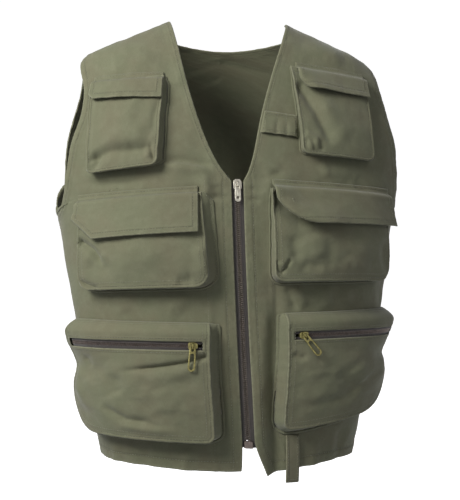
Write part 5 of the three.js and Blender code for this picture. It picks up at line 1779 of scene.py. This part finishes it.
def pullFrame(matrix, size, turn, tilt):
    window = crown["bar"] + 2.2 * size["clear"]
    height = size["chain"] / 2 + size["clear"] + size["plate"] + 2 * size["clear"] + window / 2
    turned = Matrix.Rotation(turn, 4, "Z") @ Matrix.Rotation(-tilt, 4, "X")
    return matrix @ Matrix.Translation((0, 0, height)) @ turned


def addFrontSlider():
    def at(arc, drop):
        return onVest(arc, drop, zipLift, 0.0)

    arc = zipArc(np.array(sliderDrop))
    up = unit(at(arc, sliderDrop - 4) - at(arc, sliderDrop + 4))
    over = at(arc + 4, sliderDrop) - at(arc - 4, sliderDrop)
    off = unit(np.cross(over, up))
    matrix = frameMatrix(np.cross(up, off), up, off, at(arc, sliderDrop))
    parts = sliderParts(frontSlider, 0.0)
    joined("frontSlider", parts, sliderNickel, matrix, ["zip_slider"], "vest")
    form = frontPullForm
    eye = slotOutline(*form["eye"])
    hole = arcOutline(0, *form["hole"], 0, 2 * math.pi, 15)[:-1]
    blade = roundedPlate("blade", [taperedOutline(form), eye, hole], form["thickness"], form["bevel"])
    boss = roundedPlate("boss", [slotOutline(*form["boss"])], form["bossThickness"], 0.3)
    joined(
        "frontPull", [(blade, Matrix.Identity(4)), (boss, Matrix.Translation((0, 0, 0.5)))], sliderNickel,
        pullFrame(matrix, frontSlider, 0.0, form["tilt"]), ["zip_pull"], "front_pull",
    )


def addCargoSlider(name, cad, body):
    place = pocketPlaces[name]
    form = cargoPullForm
    turn = form["turn"][name] * quarterTurn
    share = cargoZip["sliderShare"]

    def at(along, across, lift=0.0):
        return cargoLine(place, np.array(along), across, lift, 0.0)

    y = unit(at(0.0, 0.0) - at(0.12, 0.0))
    off = unit(np.cross(y, at(share, 4.0) - at(share, -4.0))) * place["side"]
    matrix = frameMatrix(np.cross(y, off), y, off, at(share, 0.0, zipLift))
    parts = sliderParts(cargoSlider, turn)
    joined(name + "Slider", parts, pullBrass, matrix, [cad + "_slider"], "vest")
    # the pull is an open frame of rounded bar
    outlines = [taperedOutline(form), slotOutline(*form["eye"]), slotOutline(*form["slot"])]
    blade = roundedPlate("blade", outlines, form["thickness"], form["bevel"])
    pulled = pullFrame(matrix, cargoSlider, turn, form["tilt"])
    joined(name + "Pull", [(blade, Matrix.Identity(4))], pullBrass, pulled, [cad + "_pull"], body)


addFrontSlider()
addCargoSlider("cargoRight", "cargo_right", "cargo_pull_right")
addCargoSlider("cargoLeft", "cargo_left", "cargo_pull_left")


endBox = {"beyond": 1.6, "thickness": 2.4, "lift": 2.2, "groove": 0.5}


def addZipEnd():
    half = teeth["front"]["width"] / 2 + endBox["beyond"]
    drops = np.linspace(frontZip["bottom"] + 0.4, frontZip["bottom"] + zipCloth["endHeight"], 9)
    arcs = np.linspace(-half, half, 9)
    across, drop = np.meshgrid(arcs, drops)
    rounded = 0.35 * np.cos(across / half * 1.3)
    groove = endBox["groove"] * np.exp(-((across) / 0.7) ** 2)
    points = onVest(zipArc(drop) + across, drop, zipLift + endBox["lift"] + rounded - groove)
    outward = bodyNormal(angleAt(zipArc(drop) + across, drop), drop)
    quads = facingAway(points.reshape(-1, 3), gridQuads(9, 9), outward.reshape(-1, 3))
    extra = np.zeros(points.shape[0] * points.shape[1])
    sheetPoints, faces = closedSheet(points.reshape(-1, 3), quads, endBox["thickness"], extra)[:2]
    addPiece("zipEndBox", makeMesh("zipEndBox", sheetPoints, faces), zipTeeth, ["zip_end"])


addZipEnd()
print("sliders, pulls and the zip's end box are on")

# Stage, lights and camera
studio = {"floor": -0.86, "radius": 3.4, "wall": 2.4, "bend": 1.3, "glow": 0.75}
lights = {
    "keyLight": {"place": (-1.2, -0.95, 0.62), "aim": (0, 0, -0.24), "size": (0.8, 0.8), "energy": 34,
                 "colour": (1.0, 0.985, 0.96)},
    "fillLight": {"place": (1.2, -2.0, 0.5), "aim": (0, 0, -0.2), "size": (1.4, 1.4), "energy": 2.5,
                  "colour": (1.0, 0.88, 0.76)},
    "backLight": {"place": (0.5, 2.3, 0.9), "aim": (0, 0, -0.3), "size": (1.6, 1.2), "energy": 24,
                  "colour": (0.97, 0.98, 1.0)},
}
sky = {"colour": (0.93, 0.95, 1.0), "strength": 0.23}
view = {"place": (-0.1488, -1.3418, -0.343), "aim": (0.00405, -0.00046, -0.309), "lens": 71.47, "sensor": 36}


def addStage():
    bend = studio["bend"]
    level = studio["radius"] - bend
    profile = [(0.0, 0.0), (level, 0.0)]
    for turn in np.linspace(0, quarterTurn, 12)[1:]:
        profile.append((level + bend * math.sin(turn), bend * (1 - math.cos(turn))))
    profile.append((studio["radius"], studio["wall"]))
    around = 72
    points = []
    for radius, height in profile:
        for k in range(around):
            turn = 2 * math.pi * k / around
            out = max(radius, 0.001)
            points.append((out * math.cos(turn), out * math.sin(turn), studio["floor"] + height))
    faces = []
    for row in range(len(profile) - 1):
        for k in range(around):
            inner = row * around
            outer = inner + around
            following = (k + 1) % around
            faces.append([inner + k, inner + following, outer + following, outer + k])
    mesh = makeMesh("studioFloor", np.array(points) * 1000, np.array(faces))
    floor = bpy.data.objects.new("studioFloor", mesh)
    bpy.context.scene.collection.objects.link(floor)
    material, tree, shader = startMaterial("paleBackdrop", (0.86, 0.86, 0.87), 0.9)
    place = node(tree, "ShaderNodeTexCoord").outputs["Object"]
    tone = noise(tree, place, 0.8, 2, 0.4)
    tree.links.new(blend(tree, tone, (0.85, 0.85, 0.86), (0.88, 0.88, 0.88)), shader.inputs["Base Color"])
    shader.inputs["Emission Color"].default_value = (1, 1, 1, 1)
    shader.inputs["Emission Strength"].default_value = studio["glow"]
    mesh.materials.append(material)
    floor.visible_diffuse = False


def addAimed(name, data, setting):
    made = bpy.data.objects.new(name, data)
    place = Vector(setting["place"])
    made.location = place
    made.rotation_euler = (Vector(setting["aim"]) - place).to_track_quat("-Z", "Y").to_euler()
    bpy.context.scene.collection.objects.link(made)
    return made


def addLight(name, setting):
    data = bpy.data.lights.new(name, "AREA")
    data.shape = "RECTANGLE"
    data.size, data.size_y = setting["size"]
    data.energy = setting["energy"]
    data.color = setting["colour"]
    addAimed(name, data, setting)


def addCamera():
    data = bpy.data.cameras.new("camera")
    data.sensor_width = view["sensor"]
    data.lens = view["lens"]
    data.clip_start = 0.05
    bpy.context.scene.camera = addAimed("camera", data, view)


addStage()
for lightName, lightSetting in lights.items():
    addLight(lightName, lightSetting)
addCamera()
world = bpy.data.worlds.new("paleWorld")
world.use_nodes = True
world.node_tree.nodes["Background"].inputs["Color"].default_value = (*sky["colour"], 1)
world.node_tree.nodes["Background"].inputs["Strength"].default_value = sky["strength"]
bpy.context.scene.world = world
bpy.context.scene.view_settings.view_transform = "Standard"
print("stage, lights and camera are set")
